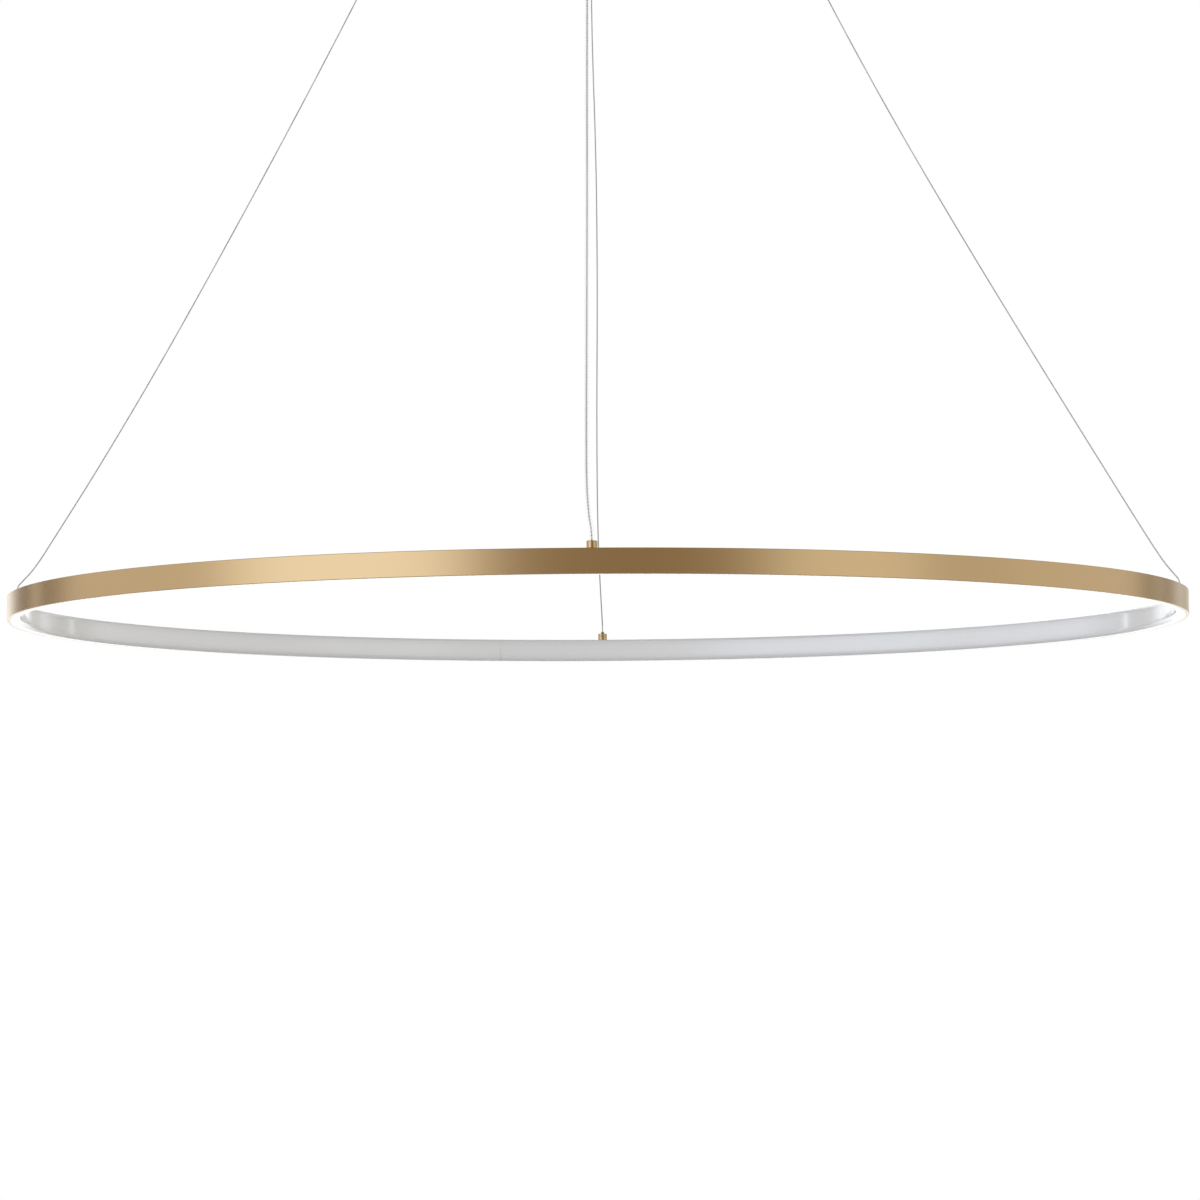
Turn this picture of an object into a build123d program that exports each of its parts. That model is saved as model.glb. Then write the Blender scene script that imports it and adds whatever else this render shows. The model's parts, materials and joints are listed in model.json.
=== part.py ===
"""Ring chandelier: a thin gold hoop with an inward opal light strip, hung on three wires and a cord.

Frame: origin at the ceiling, on the axis of the canopy and the ring, +Z up. The feed cord comes
down on the -Y side, and the three wires on the +X, +Y and -X sides. Millimetres.
"""
from math import cos, pi, radians, sin, tan
import os

from build123d import *

os.makedirs("parts", exist_ok=True)

# Ring band, by its cross-section
ring_diameter = 1000.0
band_height = 20.0
band_depth = 12.0
profile_wall = 1.5
profile_edge_round = 0.5
toe_depth = 1.1
toe_height = 0.9
groove_height = 2.3
rib_depth = 0.9
rib_height = 1.0
tongue_depth = 1.2
tongue_height = 0.7
diffuser_wall = 2.0
diffuser_low_round = 4.5
diffuser_high_round = 3.5
round_middle_share = 0.9
bead_depth = 1.6
diffuser_fit = 0.1
joint_angle = 101.3
profile_joint_gap = 0.25
diffuser_joint_gap = 0.35

# Light strip inside the band
strip_width = 8.0
strip_thickness = 0.3
strip_above_rib = 1.0
strip_end_gap = 3.0
glue_gap = 0.05
chip_count = 120
chip_width = 2.8
chip_length = 3.5
chip_height = 0.7
chip_gap = 0.02

# Fittings on the ring
fitting_inset = 4.6
wire_side_angles = {"right": 0.0, "rear": 90.0, "left": 180.0}
feed_angle = 270.0
stop_diameter = 8.2
stop_height = 5.8
stop_shank_diameter = 4.0
nipple_base_diameter = 3.4
nipple_tip_diameter = 2.3
nipple_height = 2.0
fitting_chamfer = 0.5
bore_floor_height = 1.0
gland_diameter = 8.4
gland_height = 5.6
gland_shank_diameter = 4.4
lead_bore_diameter = 2.8
grub_diameter = 3.0
grub_height = 3.0
grub_recess = 0.2
grub_socket = 1.5
grub_socket_depth = 1.2
bar_nut_length = 14.0
bar_nut_width = 5.6
bar_nut_height = 2.4
bar_nut_inset = 0.4
shank_end = 0.4
hole_clearance = 0.15
thread_clearance = 0.05

# Plate that closes the ring at its joint
joint_plate_length = 60.0
joint_screw_diameter = 3.0
joint_screw_head_diameter = 5.0
joint_screw_spacings = (-22.0, -8.0, 8.0, 22.0)

# Wires and cord
wire_diameter = 1.2
cord_diameter = 3.6
lead_diameter = 2.0
strip_lead_diameter = 1.2
wire_bore_diameter = 1.8
cord_bore_diameter = 4.2
hang_drop = 817.0

# Canopy and bracket at the ceiling
canopy_diameter = 180.0
canopy_height = 40.0
canopy_wall = 1.5
canopy_round = 3.0
outlet_radius = 60.0
bracket_width = 26.0
bracket_thickness = 1.5
bracket_to_cup = 0.5
tab_height = 18.0
side_screw_depth = 10.0
side_screw_diameter = 4.0
side_screw_reach = 10.0
side_screw_head_diameter = 10.0
side_screw_head_length = 5.0
slot_spacing = 90.0
slot_width = 4.8
slot_length = 12.0
mains_hole_diameter = 16.0

# Outlets in the canopy: wire grippers and cord gland
barrel_diameter = 10.0
barrel_length = 14.0
neck_diameter = 8.0
neck_length = 8.0
neck_engagement = 3.0
neck_roof = 3.0
outlet_nut_flats = 13.0
outlet_nut_height = 3.5
chamber_diameter = 5.8
cone_top_depth = 4.0
cone_bottom_depth = 10.5
throat_diameter = 3.9
shoulder_chamber_diameter = 7.0
collar_height = 2.0
plunger_reach = 5.0
plunger_diameter = 5.0
plunger_tube_diameter = 3.6
plunger_fit = 0.04
shoulder_diameter = 6.7
shoulder_height = 1.5
seat_diameter = 5.2
seat_height = 1.0
rest_gap = 0.1
flare_diameter = 3.6
flare_height = 3.0
spring_outer_diameter = 5.0
spring_inner_diameter = 2.2
ball_diameter = 1.6
ball_count = 3
ball_depth = 8.0
ball_gap = 0.02
ball_pocket_clearance = 0.05
canopy_gland_length = 8.0
tail_above_neck = 14.0

# Power supply and wiring in the canopy
driver_length = 80.0
driver_width = 40.0
driver_headroom = 3.0
driver_round = 2.0
ear_length = 8.0
ear_width = 16.0
ear_thickness = 3.0
stud_diameter = 2.9
driver_nut_flats = 5.5
driver_nut_height = 2.4
stud_end = 0.6
block_length = 22.0
block_width = 24.0
block_height = 12.0
block_offset = 24.0
block_round = 1.0
pole_pitch = 7.0
pole_count = 3
entry_diameter = 3.0
entry_drop = 6.5
entry_depth = 5.0
pole_screw_diameter = 3.4
pole_screw_depth = 3.0
pole_screw_setback = 5.0
block_screw_diameter = 3.0
block_screw_head_diameter = 5.0
block_screw_head_height = 2.0
earth_offset = -24.0
earth_screw_diameter = 4.0
earth_head_diameter = 7.2
earth_head_height = 2.5
earth_tag_diameter = 9.0
earth_tag_thickness = 0.8
connector_length = 18.0
connector_width = 14.0
connector_height = 10.5
connector_y = -36.0
connector_round = 1.0

# Levels and radii that follow from the sizes above
ring_radius = ring_diameter / 2
fitting_radius = ring_radius - fitting_inset
canopy_face = -canopy_height
canopy_floor = canopy_face + canopy_wall
collar_face = canopy_face - barrel_length - collar_height
gripper_mouth = collar_face - plunger_reach
ring_top = gripper_mouth - hang_drop
ring_bottom = ring_top - band_height
flange_under = ring_top - profile_wall
flange_depth = band_depth - diffuser_high_round - diffuser_fit
strip_bottom = ring_bottom + toe_height + groove_height + rib_height + strip_above_rib
chip_level = strip_bottom + strip_width / 2
shank_length = profile_wall + bar_nut_height + shank_end
canopy_inner_radius = canopy_diameter / 2 - canopy_wall
tab_face = ((canopy_inner_radius - bracket_to_cup) ** 2 - (bracket_width / 2) ** 2) ** 0.5
block_under = -bracket_thickness - block_height
driver_height = block_under - driver_headroom - canopy_floor
ear_top = canopy_floor + ear_thickness
plunger_rest = canopy_face - barrel_length + rest_gap
shoulder_top = plunger_rest + shoulder_height
seat_top = canopy_face - cone_top_depth + seat_height
spring_roof = canopy_face + neck_length - neck_roof
neck_top = canopy_face + neck_length

# Routes of the wires and the cord, as radius and height over the ring's top, and for the cord
# also its sideways lean. The wires sag a little on their way to the canopy.
wire_route = [
    (495.4, 2.4), (495.4, 9.4), (490.84, 16.6), (482.37, 30.0), (464.8, 58.0), (432.67, 110.0),
    (378.6, 200.0), (315.15, 310.0), (254.6, 420.0), (196.97, 530.0), (142.23, 640.0),
    (101.92, 725.0), (79.03, 775.0), (67.71, 800.2), (63.74, 809.1), (60.0, 817.6), (60.0, 823.0),
]
cord_route = [
    (495.4, 1.4, 0.0), (495.4, 12.0, 0.0), (492.8, 24.0, -0.7), (486.3, 40.5, -1.7),
    (474.0, 62.0, -2.5), (447.0, 104.5, -3.0), (391.0, 195.0, -3.2), (329.0, 300.0, -3.0),
    (265.0, 413.0, -3.3), (203.5, 526.0, -2.8), (146.5, 636.0, -2.0), (103.0, 725.0, -1.2),
    (86.0, 761.0, -0.8), (75.5, 785.0, -0.5), (67.5, 805.0, -0.2), (62.2, 819.5, 0.0),
    (60.0, 828.0, 0.0), (60.0, 834.0, 0.0),
]

# Routes of the mains and earth leads in the part's own frame, and of the leads that lie in the canopy,
# by their height over its floor
live_route = [
    (31, -8, -8), (31, -18, -8), (35.5, -24.5, -10.5), (42.5, -25, -16), (48, -20, -22),
    (49, -14.5, -26.5), (45.5, -11.5, -28), (40, -11.5, -28),
]
neutral_route = [
    (24, -8, -8), (24, -18, -8), (28.5, -26, -10.5), (38.5, -29.5, -17), (48, -25.5, -24.5),
    (50.5, -18, -30), (46, -14.5, -32), (40, -14.5, -32),
]
earth_route = [
    (17, -8, -8), (17, -16.5, -8), (12, -20, -7.5), (-6, -20.5, -6.5), (-18, -18, -5),
    (-23.5, -11.5, -3.4), (-24, -4, -2.9),
]
output_routes = [
    [(-40, -8, 8.5), (-45.5, -8, 8.5), (-49, -14.5, 8.5), (-46.5, -26, 8), (-37, -33, 7),
     (-22, -34.5, 5.5), (-9, -34.5, 5.5)],
    [(-40, -11.5, 6), (-44, -11.5, 6), (-46.3, -17, 6), (-43, -25.5, 5.5), (-34, -30.5, 4.5),
     (-21, -31.5, 3), (-9, -31.5, 3)],
]
cord_tail_route = [
    (0, -60, -5.5), (0, -60, 16.5), (0, -53, 25.5), (0, -42, 25.5), (0, -36, 18.5), (0, -36, 10.5),
]
arc_share = 0.45


def at_angle(radius, angle, level=0.0):
    """Point at a radius and an angle about the ring's axis."""
    return Vector(radius * cos(radians(angle)), radius * sin(radians(angle)), level)


def upright_plane(angle, level=0.0):
    """Plane through the ring's axis: local X runs outwards at the angle, local Y is up."""
    return Plane(
        origin=(0, 0, level),
        x_dir=(cos(radians(angle)), sin(radians(angle)), 0),
        z_dir=(sin(radians(angle)), -cos(radians(angle)), 0),
    )


def save(piece, name):
    """Label a finished piece and write its file."""
    piece.part.label = name
    export_step(piece.part, f"parts/{name}.step")


def turn_outline(outline, centre):
    """Revolve corners given as radius and height about the upright axis through a point."""
    with BuildSketch(Plane(origin=(centre.X, centre.Y, 0), x_dir=(1, 0, 0), z_dir=(0, -1, 0))) as half:
        with BuildLine():
            Polyline(*outline, close=True)
        make_face()
    revolve(half.sketch, axis=Axis((centre.X, centre.Y, 0), (0, 0, 1)))


def soft_corner(start, heading, size):
    """Turn right through a square corner on three equal arcs, the middle one a little tighter."""
    turn = 30.0
    middle_part = sin(radians(2 * turn)) - sin(radians(turn))
    middle_radius = round_middle_share * size
    side_radius = (size - middle_part * middle_radius) / (1 - middle_part)
    for radius in (side_radius, middle_radius, side_radius):
        arc = JernArc(start, heading, radius, -turn)
        start = arc @ 1
        heading = arc % 1


def over_floor(route):
    """Points of a route whose heights are over the canopy's floor."""
    return [Vector(x, y, canopy_floor + height) for x, y, height in route]


def route_radii(points):
    """Fillet radius at each inner point of a route, as large as its two runs allow."""
    radii = []
    for before, corner, after in zip(points, points[1:], points[2:]):
        run_in = corner - before
        run_out = after - corner
        half_turn = radians(run_in.get_angle(run_out)) / 2
        radii.append(arc_share * min(run_in.length, run_out.length) / tan(half_turn))
    return radii


def sweep_route(name, points, diameter):
    """Sweep a round section along straight runs and tangent arcs, inside the active part."""
    radii = route_radii(points)
    with BuildLine() as route:
        FilletPolyline(*points, radius=radii)
    path = route.wires()[0]
    with BuildSketch(Plane(origin=path @ 0, z_dir=path % 0)) as section:
        Circle(diameter / 2)
    sweep(section.sketch, path=path)
    expected = pi * diameter**2 / 4 * path.length
    print(f"{name}: length {path.length:.1f}, section times length {expected:.1f}, "
          f"radii {[round(r, 1) for r in radii]}")


def fitting_points():
    """Centres of the wire stops and the feed gland on the ring's top."""
    angles = [*wire_side_angles.values(), feed_angle]
    return [at_angle(fitting_radius, angle) for angle in angles]


def flat_points(points):
    """The same points as plain X and Y pairs."""
    return [(point.X, point.Y) for point in points]


def joint_screw_points():
    """Centres of the screws along the joint plate."""
    return [
        at_angle(fitting_radius, joint_angle + spacing / fitting_radius * 180 / pi)
        for spacing in joint_screw_spacings
    ]


# Gold outer profile, rolled in one length, with a hairline joint on the far side
profile_gap_angle = profile_joint_gap / ring_radius * 180 / pi
with BuildPart() as ring_profile:
    with BuildSketch(upright_plane(joint_angle + profile_gap_angle / 2, ring_bottom)):
        with BuildLine():
            Polyline(
                (ring_radius, 0),
                (ring_radius - profile_wall - toe_depth, 0),
                (ring_radius - profile_wall - toe_depth, toe_height),
                (ring_radius - profile_wall, toe_height),
                (ring_radius - profile_wall, toe_height + groove_height),
                (ring_radius - profile_wall - rib_depth, toe_height + groove_height),
                (ring_radius - profile_wall - rib_depth, toe_height + groove_height + rib_height),
                (ring_radius - profile_wall, toe_height + groove_height + rib_height),
                (ring_radius - profile_wall, band_height - profile_wall),
                (ring_radius - flange_depth - tongue_depth, band_height - profile_wall),
                (ring_radius - flange_depth - tongue_depth, band_height - profile_wall + tongue_height),
                (ring_radius - flange_depth, band_height - profile_wall + tongue_height),
                (ring_radius - flange_depth, band_height),
                (ring_radius, band_height),
                close=True,
            )
        outline = make_face()
        fillet(outline.vertices().group_by(Axis.X)[-1], profile_edge_round)
    revolve(axis=Axis.Z, revolution_arc=360 - profile_gap_angle)
    with BuildSketch(Plane.XY.offset(ring_top)):
        with Locations(*flat_points(fitting_points()[:3])):
            Circle(stop_shank_diameter / 2 + hole_clearance)
        with Locations(*flat_points(fitting_points()[3:])):
            Circle(gland_shank_diameter / 2 + hole_clearance)
        with Locations(*flat_points(joint_screw_points())):
            Circle(joint_screw_diameter / 2 + hole_clearance)
    extrude(amount=-profile_wall, mode=Mode.SUBTRACT)
    sink_depth = (joint_screw_head_diameter - joint_screw_diameter) / 2
    with BuildSketch(Plane.XY.offset(ring_top)) as sink_top:
        with Locations(*flat_points(joint_screw_points())):
            Circle(joint_screw_head_diameter / 2 + hole_clearance)
    extrude(sink_top.sketch, amount=-sink_depth, taper=45, mode=Mode.SUBTRACT)
save(ring_profile, "ring_profile")

# Opal diffuser: a bead clips into the profile's groove below, a slot takes its tongue above
diffuser_gap_angle = diffuser_joint_gap / ring_radius * 180 / pi
with BuildPart() as ring_diffuser:
    bead_low = toe_height + diffuser_fit
    bead_high = toe_height + groove_height - diffuser_fit
    bead_out = ring_radius - profile_wall - diffuser_fit
    foot_out = ring_radius - profile_wall - toe_depth - diffuser_fit
    bead_in = bead_out - bead_depth
    face_in = ring_radius - band_depth
    wall_in = face_in + diffuser_wall
    low_centre = face_in + diffuser_low_round
    high_centre = face_in + diffuser_high_round
    slot_in = high_centre - tongue_depth
    slot_low = band_height - profile_wall - diffuser_fit
    slot_high = band_height - profile_wall + tongue_height + diffuser_fit
    low_inner_round = diffuser_low_round - diffuser_wall
    with BuildSketch(upright_plane(joint_angle + diffuser_gap_angle / 2, ring_bottom)):
        with BuildLine():
            Polyline(
                (low_centre, diffuser_wall), (bead_in, diffuser_wall), (bead_in, bead_high),
                (bead_out, bead_high), (bead_out, bead_low), (foot_out, bead_low), (foot_out, 0),
                (low_centre, 0),
            )
            soft_corner((low_centre, 0), (-1, 0), diffuser_low_round)
            Line((face_in, diffuser_low_round), (face_in, band_height - diffuser_high_round))
            soft_corner((face_in, band_height - diffuser_high_round), (0, 1), diffuser_high_round)
            Polyline(
                (high_centre, band_height), (high_centre, slot_high), (slot_in, slot_high),
                (slot_in, slot_low), (high_centre, slot_low),
                (high_centre, band_height - diffuser_high_round),
                (wall_in, band_height - diffuser_high_round), (wall_in, diffuser_low_round),
            )
            RadiusArc((wall_in, diffuser_low_round), (low_centre, diffuser_wall), -low_inner_round)
        make_face()
    revolve(axis=Axis.Z, revolution_arc=360 - diffuser_gap_angle)
save(ring_diffuser, "ring_diffuser")

# Light strip on the inside of the outer wall; its ends meet beside the feed
strip_outer = ring_radius - profile_wall - glue_gap
strip_inner = strip_outer - strip_thickness
strip_gap_angle = strip_end_gap / strip_outer * 180 / pi
with BuildPart() as led_strip:
    with BuildSketch(upright_plane(feed_angle + 2 * strip_gap_angle, strip_bottom)):
        with Locations(((strip_outer + strip_inner) / 2, strip_width / 2)):
            Rectangle(strip_thickness, strip_width)
    revolve(axis=Axis.Z, revolution_arc=360 - strip_gap_angle)
save(led_strip, "led_strip")

chip_pitch = 360 / chip_count
chip_radius = strip_inner - chip_gap - chip_height / 2
with BuildPart() as led_chips:
    with Locations((0, 0, chip_level)):
        with PolarLocations(chip_radius, chip_count, start_angle=chip_pitch / 2):
            Box(chip_height, chip_width, chip_length)
save(led_chips, "led_chips")

# Plate under the top flange that closes the joint, with countersunk screws from above
joint_plate_angle = joint_plate_length / fitting_radius * 180 / pi
with BuildPart() as joint_plate:
    with BuildSketch(upright_plane(joint_angle - joint_plate_angle / 2, flange_under - bar_nut_height)):
        with Locations((fitting_radius, bar_nut_height / 2)):
            Rectangle(bar_nut_width, bar_nut_height)
    revolve(axis=Axis.Z, revolution_arc=joint_plate_angle)
    with BuildSketch(Plane.XY.offset(flange_under)):
        with Locations(*flat_points(joint_screw_points())):
            Circle(joint_screw_diameter / 2)
    extrude(amount=-bar_nut_height, mode=Mode.SUBTRACT)
save(joint_plate, "joint_plate")

with BuildPart() as joint_screws:
    joint_shank = joint_screw_diameter / 2 - thread_clearance
    head_rim = joint_screw_head_diameter / 2
    head_top = ring_top - thread_clearance
    for point in joint_screw_points():
        turn_outline(
            [(0, head_top), (head_rim, head_top), (joint_shank, head_top - head_rim + joint_shank),
             (joint_shank, flange_under - bar_nut_height), (0, flange_under - bar_nut_height)],
            point,
        )
save(joint_screws, "joint_screws")

# Turned brass stops that clamp the wires, each with a grub screw facing the ring's centre
stop_radius = stop_diameter / 2
for side, angle in wire_side_angles.items():
    stop_centre = at_angle(fitting_radius, angle)
    grub_plane = Plane(origin=at_angle(fitting_radius, angle, ring_top + grub_height),
                       z_dir=at_angle(-1, angle))
    with BuildPart() as wire_stop:
        turn_outline(
            [(0, ring_top - shank_length), (stop_shank_diameter / 2, ring_top - shank_length),
             (stop_shank_diameter / 2, ring_top), (stop_radius, ring_top),
             (stop_radius, ring_top + stop_height - fitting_chamfer),
             (stop_radius - fitting_chamfer, ring_top + stop_height),
             (nipple_base_diameter / 2, ring_top + stop_height),
             (nipple_tip_diameter / 2, ring_top + stop_height + nipple_height),
             (wire_bore_diameter / 2, ring_top + stop_height + nipple_height),
             (wire_bore_diameter / 2, ring_top + bore_floor_height),
             (0, ring_top + bore_floor_height)],
            stop_centre,
        )
        with BuildSketch(grub_plane):
            Circle(grub_diameter / 2)
        extrude(amount=stop_radius, mode=Mode.SUBTRACT)
    save(wire_stop, f"wire_stop_{side}")

# Hollow gland that takes the feed cord, and its leads on down into the band
gland_radius = gland_diameter / 2
gland_centre = at_angle(fitting_radius, feed_angle)
gland_floor = ring_top + bore_floor_height
gland_grub_plane = Plane(origin=at_angle(fitting_radius, feed_angle, ring_top + grub_height),
                         z_dir=at_angle(-1, feed_angle))
with BuildPart() as feed_gland:
    turn_outline(
        [(lead_bore_diameter / 2, ring_top - shank_length),
         (gland_shank_diameter / 2, ring_top - shank_length),
         (gland_shank_diameter / 2, ring_top), (gland_radius, ring_top),
         (gland_radius, ring_top + gland_height - fitting_chamfer),
         (gland_radius - fitting_chamfer, ring_top + gland_height),
         (cord_bore_diameter / 2, ring_top + gland_height), (cord_bore_diameter / 2, gland_floor),
         (lead_bore_diameter / 2, gland_floor)],
        gland_centre,
    )
    with BuildSketch(gland_grub_plane):
        Circle(grub_diameter / 2)
    extrude(amount=gland_radius, mode=Mode.SUBTRACT)
save(feed_gland, "feed_gland")

# Grub screws: three on the wires, one on the cord
with BuildPart() as fitting_grub_screws:
    grub_seats = [(angle, wire_diameter / 2, stop_radius) for angle in wire_side_angles.values()]
    grub_seats.append((feed_angle, cord_diameter / 2, gland_radius))
    for angle, held_radius, body_radius in grub_seats:
        inward = at_angle(-1, angle)
        grub_axis_point = at_angle(fitting_radius, angle, ring_top + grub_height)
        tip = held_radius + thread_clearance
        outer_end = body_radius - grub_recess
        with BuildSketch(Plane(origin=grub_axis_point + inward * tip, z_dir=inward)):
            Circle(grub_diameter / 2 - thread_clearance)
        extrude(amount=outer_end - tip)
        with BuildSketch(Plane(origin=grub_axis_point + inward * outer_end, z_dir=inward)):
            RegularPolygon(grub_socket / 2, 6, major_radius=False)
        extrude(amount=-grub_socket_depth, mode=Mode.SUBTRACT)
save(fitting_grub_screws, "fitting_grub_screws")

# Bar nuts inside the band that hold the fittings down
with BuildPart() as fitting_nuts:
    shank_diameters = [stop_shank_diameter] * len(wire_side_angles) + [gland_shank_diameter]
    for angle, shank in zip([*wire_side_angles.values(), feed_angle], shank_diameters):
        nut_plane = Plane(origin=at_angle(fitting_radius, angle, flange_under), x_dir=at_angle(1, angle))
        with BuildSketch(nut_plane):
            with Locations((-bar_nut_inset, 0)):
                Rectangle(bar_nut_width, bar_nut_length)
            Circle(shank / 2 + thread_clearance, mode=Mode.SUBTRACT)
        extrude(amount=-bar_nut_height)
save(fitting_nuts, "fitting_nuts")

# Two leads from the cord's end to the strip
with BuildPart() as strip_leads:
    lead_side = strip_lead_diameter / 2 + thread_clearance
    lead_level = strip_inner - strip_lead_diameter / 2 - glue_gap
    for side in (-1, 1):
        lead_points = [
            Vector(side * lead_side, -fitting_radius, gland_floor),
            Vector(side * lead_side, -fitting_radius, ring_top - shank_length),
            Vector(side * lead_side, -(fitting_radius + lead_level) / 2, chip_level + strip_width / 4),
            Vector(side * lead_side, -lead_level, chip_level - strip_width / 4),
        ]
        sweep_route("strip lead", lead_points, strip_lead_diameter)
save(strip_leads, "strip_leads")

# Ceiling bracket: a strip with bent ends that take the canopy's side screws
with BuildPart() as ceiling_bracket:
    with BuildSketch(Plane.XY):
        Rectangle(2 * tab_face, bracket_width)
        Circle(mains_hole_diameter / 2, mode=Mode.SUBTRACT)
        with Locations((-slot_spacing / 2, 0), (slot_spacing / 2, 0)):
            SlotOverall(slot_length, slot_width, mode=Mode.SUBTRACT)
        with Locations((earth_offset, 0)):
            Circle(earth_screw_diameter / 2, mode=Mode.SUBTRACT)
        with Locations((block_offset, 0)):
            Circle(block_screw_diameter / 2, mode=Mode.SUBTRACT)
    extrude(amount=-bracket_thickness)
    for way in (-1, 1):
        with BuildSketch(Plane(origin=(way * tab_face, 0, 0), x_dir=(0, way, 0), z_dir=(way, 0, 0))):
            with Locations((0, -tab_height / 2)):
                Rectangle(bracket_width, tab_height)
            with Locations((0, -side_screw_depth)):
                Circle(side_screw_diameter / 2, mode=Mode.SUBTRACT)
        extrude(amount=-bracket_thickness)
save(ceiling_bracket, "ceiling_bracket")

# Canopy cup with its outlet holes, side screw holes and the studs for the power supply
outlet_angles = [*wire_side_angles.values(), feed_angle]
outlet_points = [at_angle(outlet_radius, angle) for angle in outlet_angles]
stud_points = [(way * (driver_length + ear_length) / 2, 0) for way in (-1, 1)]
stud_height = ear_thickness + driver_nut_height + stud_end
with BuildPart() as canopy_cup:
    with BuildSketch(upright_plane(0, canopy_face)):
        with BuildLine():
            Polyline(
                (0, 0), (canopy_diameter / 2, 0), (canopy_diameter / 2, canopy_height),
                (canopy_inner_radius, canopy_height), (canopy_inner_radius, canopy_wall), (0, canopy_wall),
                close=True,
            )
        cup_outline = make_face()
        rim_corners = cup_outline.vertices().group_by(Axis.X)
        fillet(rim_corners[-1].sort_by(Axis.Z)[0], canopy_round)
        fillet(rim_corners[-2].sort_by(Axis.Z)[0],
               canopy_round - canopy_wall)
    revolve(axis=Axis.Z)
    with BuildSketch(Plane.XY.offset(canopy_face)):
        with Locations(*flat_points(outlet_points)):
            Circle(neck_diameter / 2 + hole_clearance)
    extrude(amount=canopy_wall, mode=Mode.SUBTRACT)
    with BuildSketch(Plane.YZ.offset(-canopy_diameter / 2)):
        with Locations((0, -side_screw_depth)):
            Circle(side_screw_diameter / 2 + hole_clearance)
    extrude(amount=canopy_diameter, mode=Mode.SUBTRACT)
    with BuildSketch(Plane.XY.offset(canopy_floor)):
        with Locations(*stud_points):
            Circle(stud_diameter / 2)
    extrude(amount=stud_height)
save(canopy_cup, "canopy_cup")

# Thumb screws through the cup's wall into the bracket's tabs
with BuildPart() as canopy_side_screws:
    shank_radius = side_screw_diameter / 2 - thread_clearance
    for way in (-1, 1):
        with BuildSketch(Plane(origin=(way * canopy_diameter / 2, 0, -side_screw_depth), z_dir=(way, 0, 0))):
            Circle(side_screw_head_diameter / 2)
        extrude(amount=side_screw_head_length)
        with BuildSketch(Plane(origin=(way * canopy_diameter / 2, 0, -side_screw_depth), z_dir=(way, 0, 0))):
            Circle(shank_radius)
        extrude(amount=-side_screw_reach)
save(canopy_side_screws, "canopy_side_screws")

# Wire grippers: a neck screwed into each barrel, a collar that keeps the plunger in
neck_radius = neck_diameter / 2
chamber_radius = chamber_diameter / 2
barrel_radius = barrel_diameter / 2
wire_bore_radius = wire_bore_diameter / 2
plunger_radius = plunger_diameter / 2
gripper_points = {side: at_angle(outlet_radius, angle) for side, angle in wire_side_angles.items()}
with BuildPart() as gripper_necks:
    for point in gripper_points.values():
        turn_outline(
            [(chamber_radius, canopy_face - neck_engagement), (neck_radius, canopy_face - neck_engagement),
             (neck_radius, neck_top), (wire_bore_radius, neck_top), (wire_bore_radius, spring_roof),
             (chamber_radius, spring_roof)],
            point,
        )
save(gripper_necks, "gripper_necks")

with BuildPart() as gripper_collars:
    for point in gripper_points.values():
        turn_outline(
            [(plunger_radius + plunger_fit, collar_face), (barrel_radius, collar_face),
             (barrel_radius, collar_face + collar_height),
             (plunger_radius + plunger_fit, collar_face + collar_height)],
            point,
        )
save(gripper_collars, "gripper_collars")

for side, point in gripper_points.items():
    with BuildPart() as gripper_barrel:
        socket_radius = neck_radius + thread_clearance
        turn_outline(
            [(socket_radius, canopy_face), (barrel_radius, canopy_face),
             (barrel_radius, canopy_face - barrel_length),
             (shoulder_chamber_diameter / 2, canopy_face - barrel_length),
             (shoulder_chamber_diameter / 2, canopy_face - cone_bottom_depth),
             (throat_diameter / 2, canopy_face - cone_bottom_depth),
             (chamber_radius, canopy_face - cone_top_depth),
             (chamber_radius, canopy_face - neck_engagement),
             (socket_radius, canopy_face - neck_engagement)],
            point,
        )
    save(gripper_barrel, f"gripper_barrel_{side}")

    with BuildPart() as gripper_plunger:
        tube_radius = plunger_tube_diameter / 2
        turn_outline(
            [(flare_diameter / 2, gripper_mouth), (plunger_radius, gripper_mouth),
             (plunger_radius, plunger_rest), (shoulder_diameter / 2, plunger_rest),
             (shoulder_diameter / 2, shoulder_top), (tube_radius, shoulder_top),
             (tube_radius, seat_top - seat_height), (seat_diameter / 2, seat_top - seat_height),
             (seat_diameter / 2, seat_top), (wire_bore_radius, seat_top),
             (wire_bore_radius, gripper_mouth + flare_height)],
            point,
        )
        with Locations((point.X, point.Y, canopy_face - ball_depth)):
            with PolarLocations(0, ball_count):
                Cylinder(
                    ball_diameter / 2 + ball_pocket_clearance, tube_radius, rotation=(0, 90, 0),
                    align=(Align.CENTER, Align.CENTER, Align.MIN), mode=Mode.SUBTRACT,
                )
    save(gripper_plunger, f"gripper_plunger_{side}")

    with BuildPart() as gripper_balls:
        with Locations((point.X, point.Y, canopy_face - ball_depth)):
            with PolarLocations(wire_diameter / 2 + ball_diameter / 2 + ball_gap, ball_count):
                Sphere(ball_diameter / 2)
    save(gripper_balls, f"gripper_balls_{side}")

    with BuildPart() as gripper_spring:
        turn_outline(
            [(spring_inner_diameter / 2, seat_top), (spring_outer_diameter / 2, seat_top),
             (spring_outer_diameter / 2, spring_roof), (spring_inner_diameter / 2, spring_roof)],
            point,
        )
    save(gripper_spring, f"gripper_spring_{side}")

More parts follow.
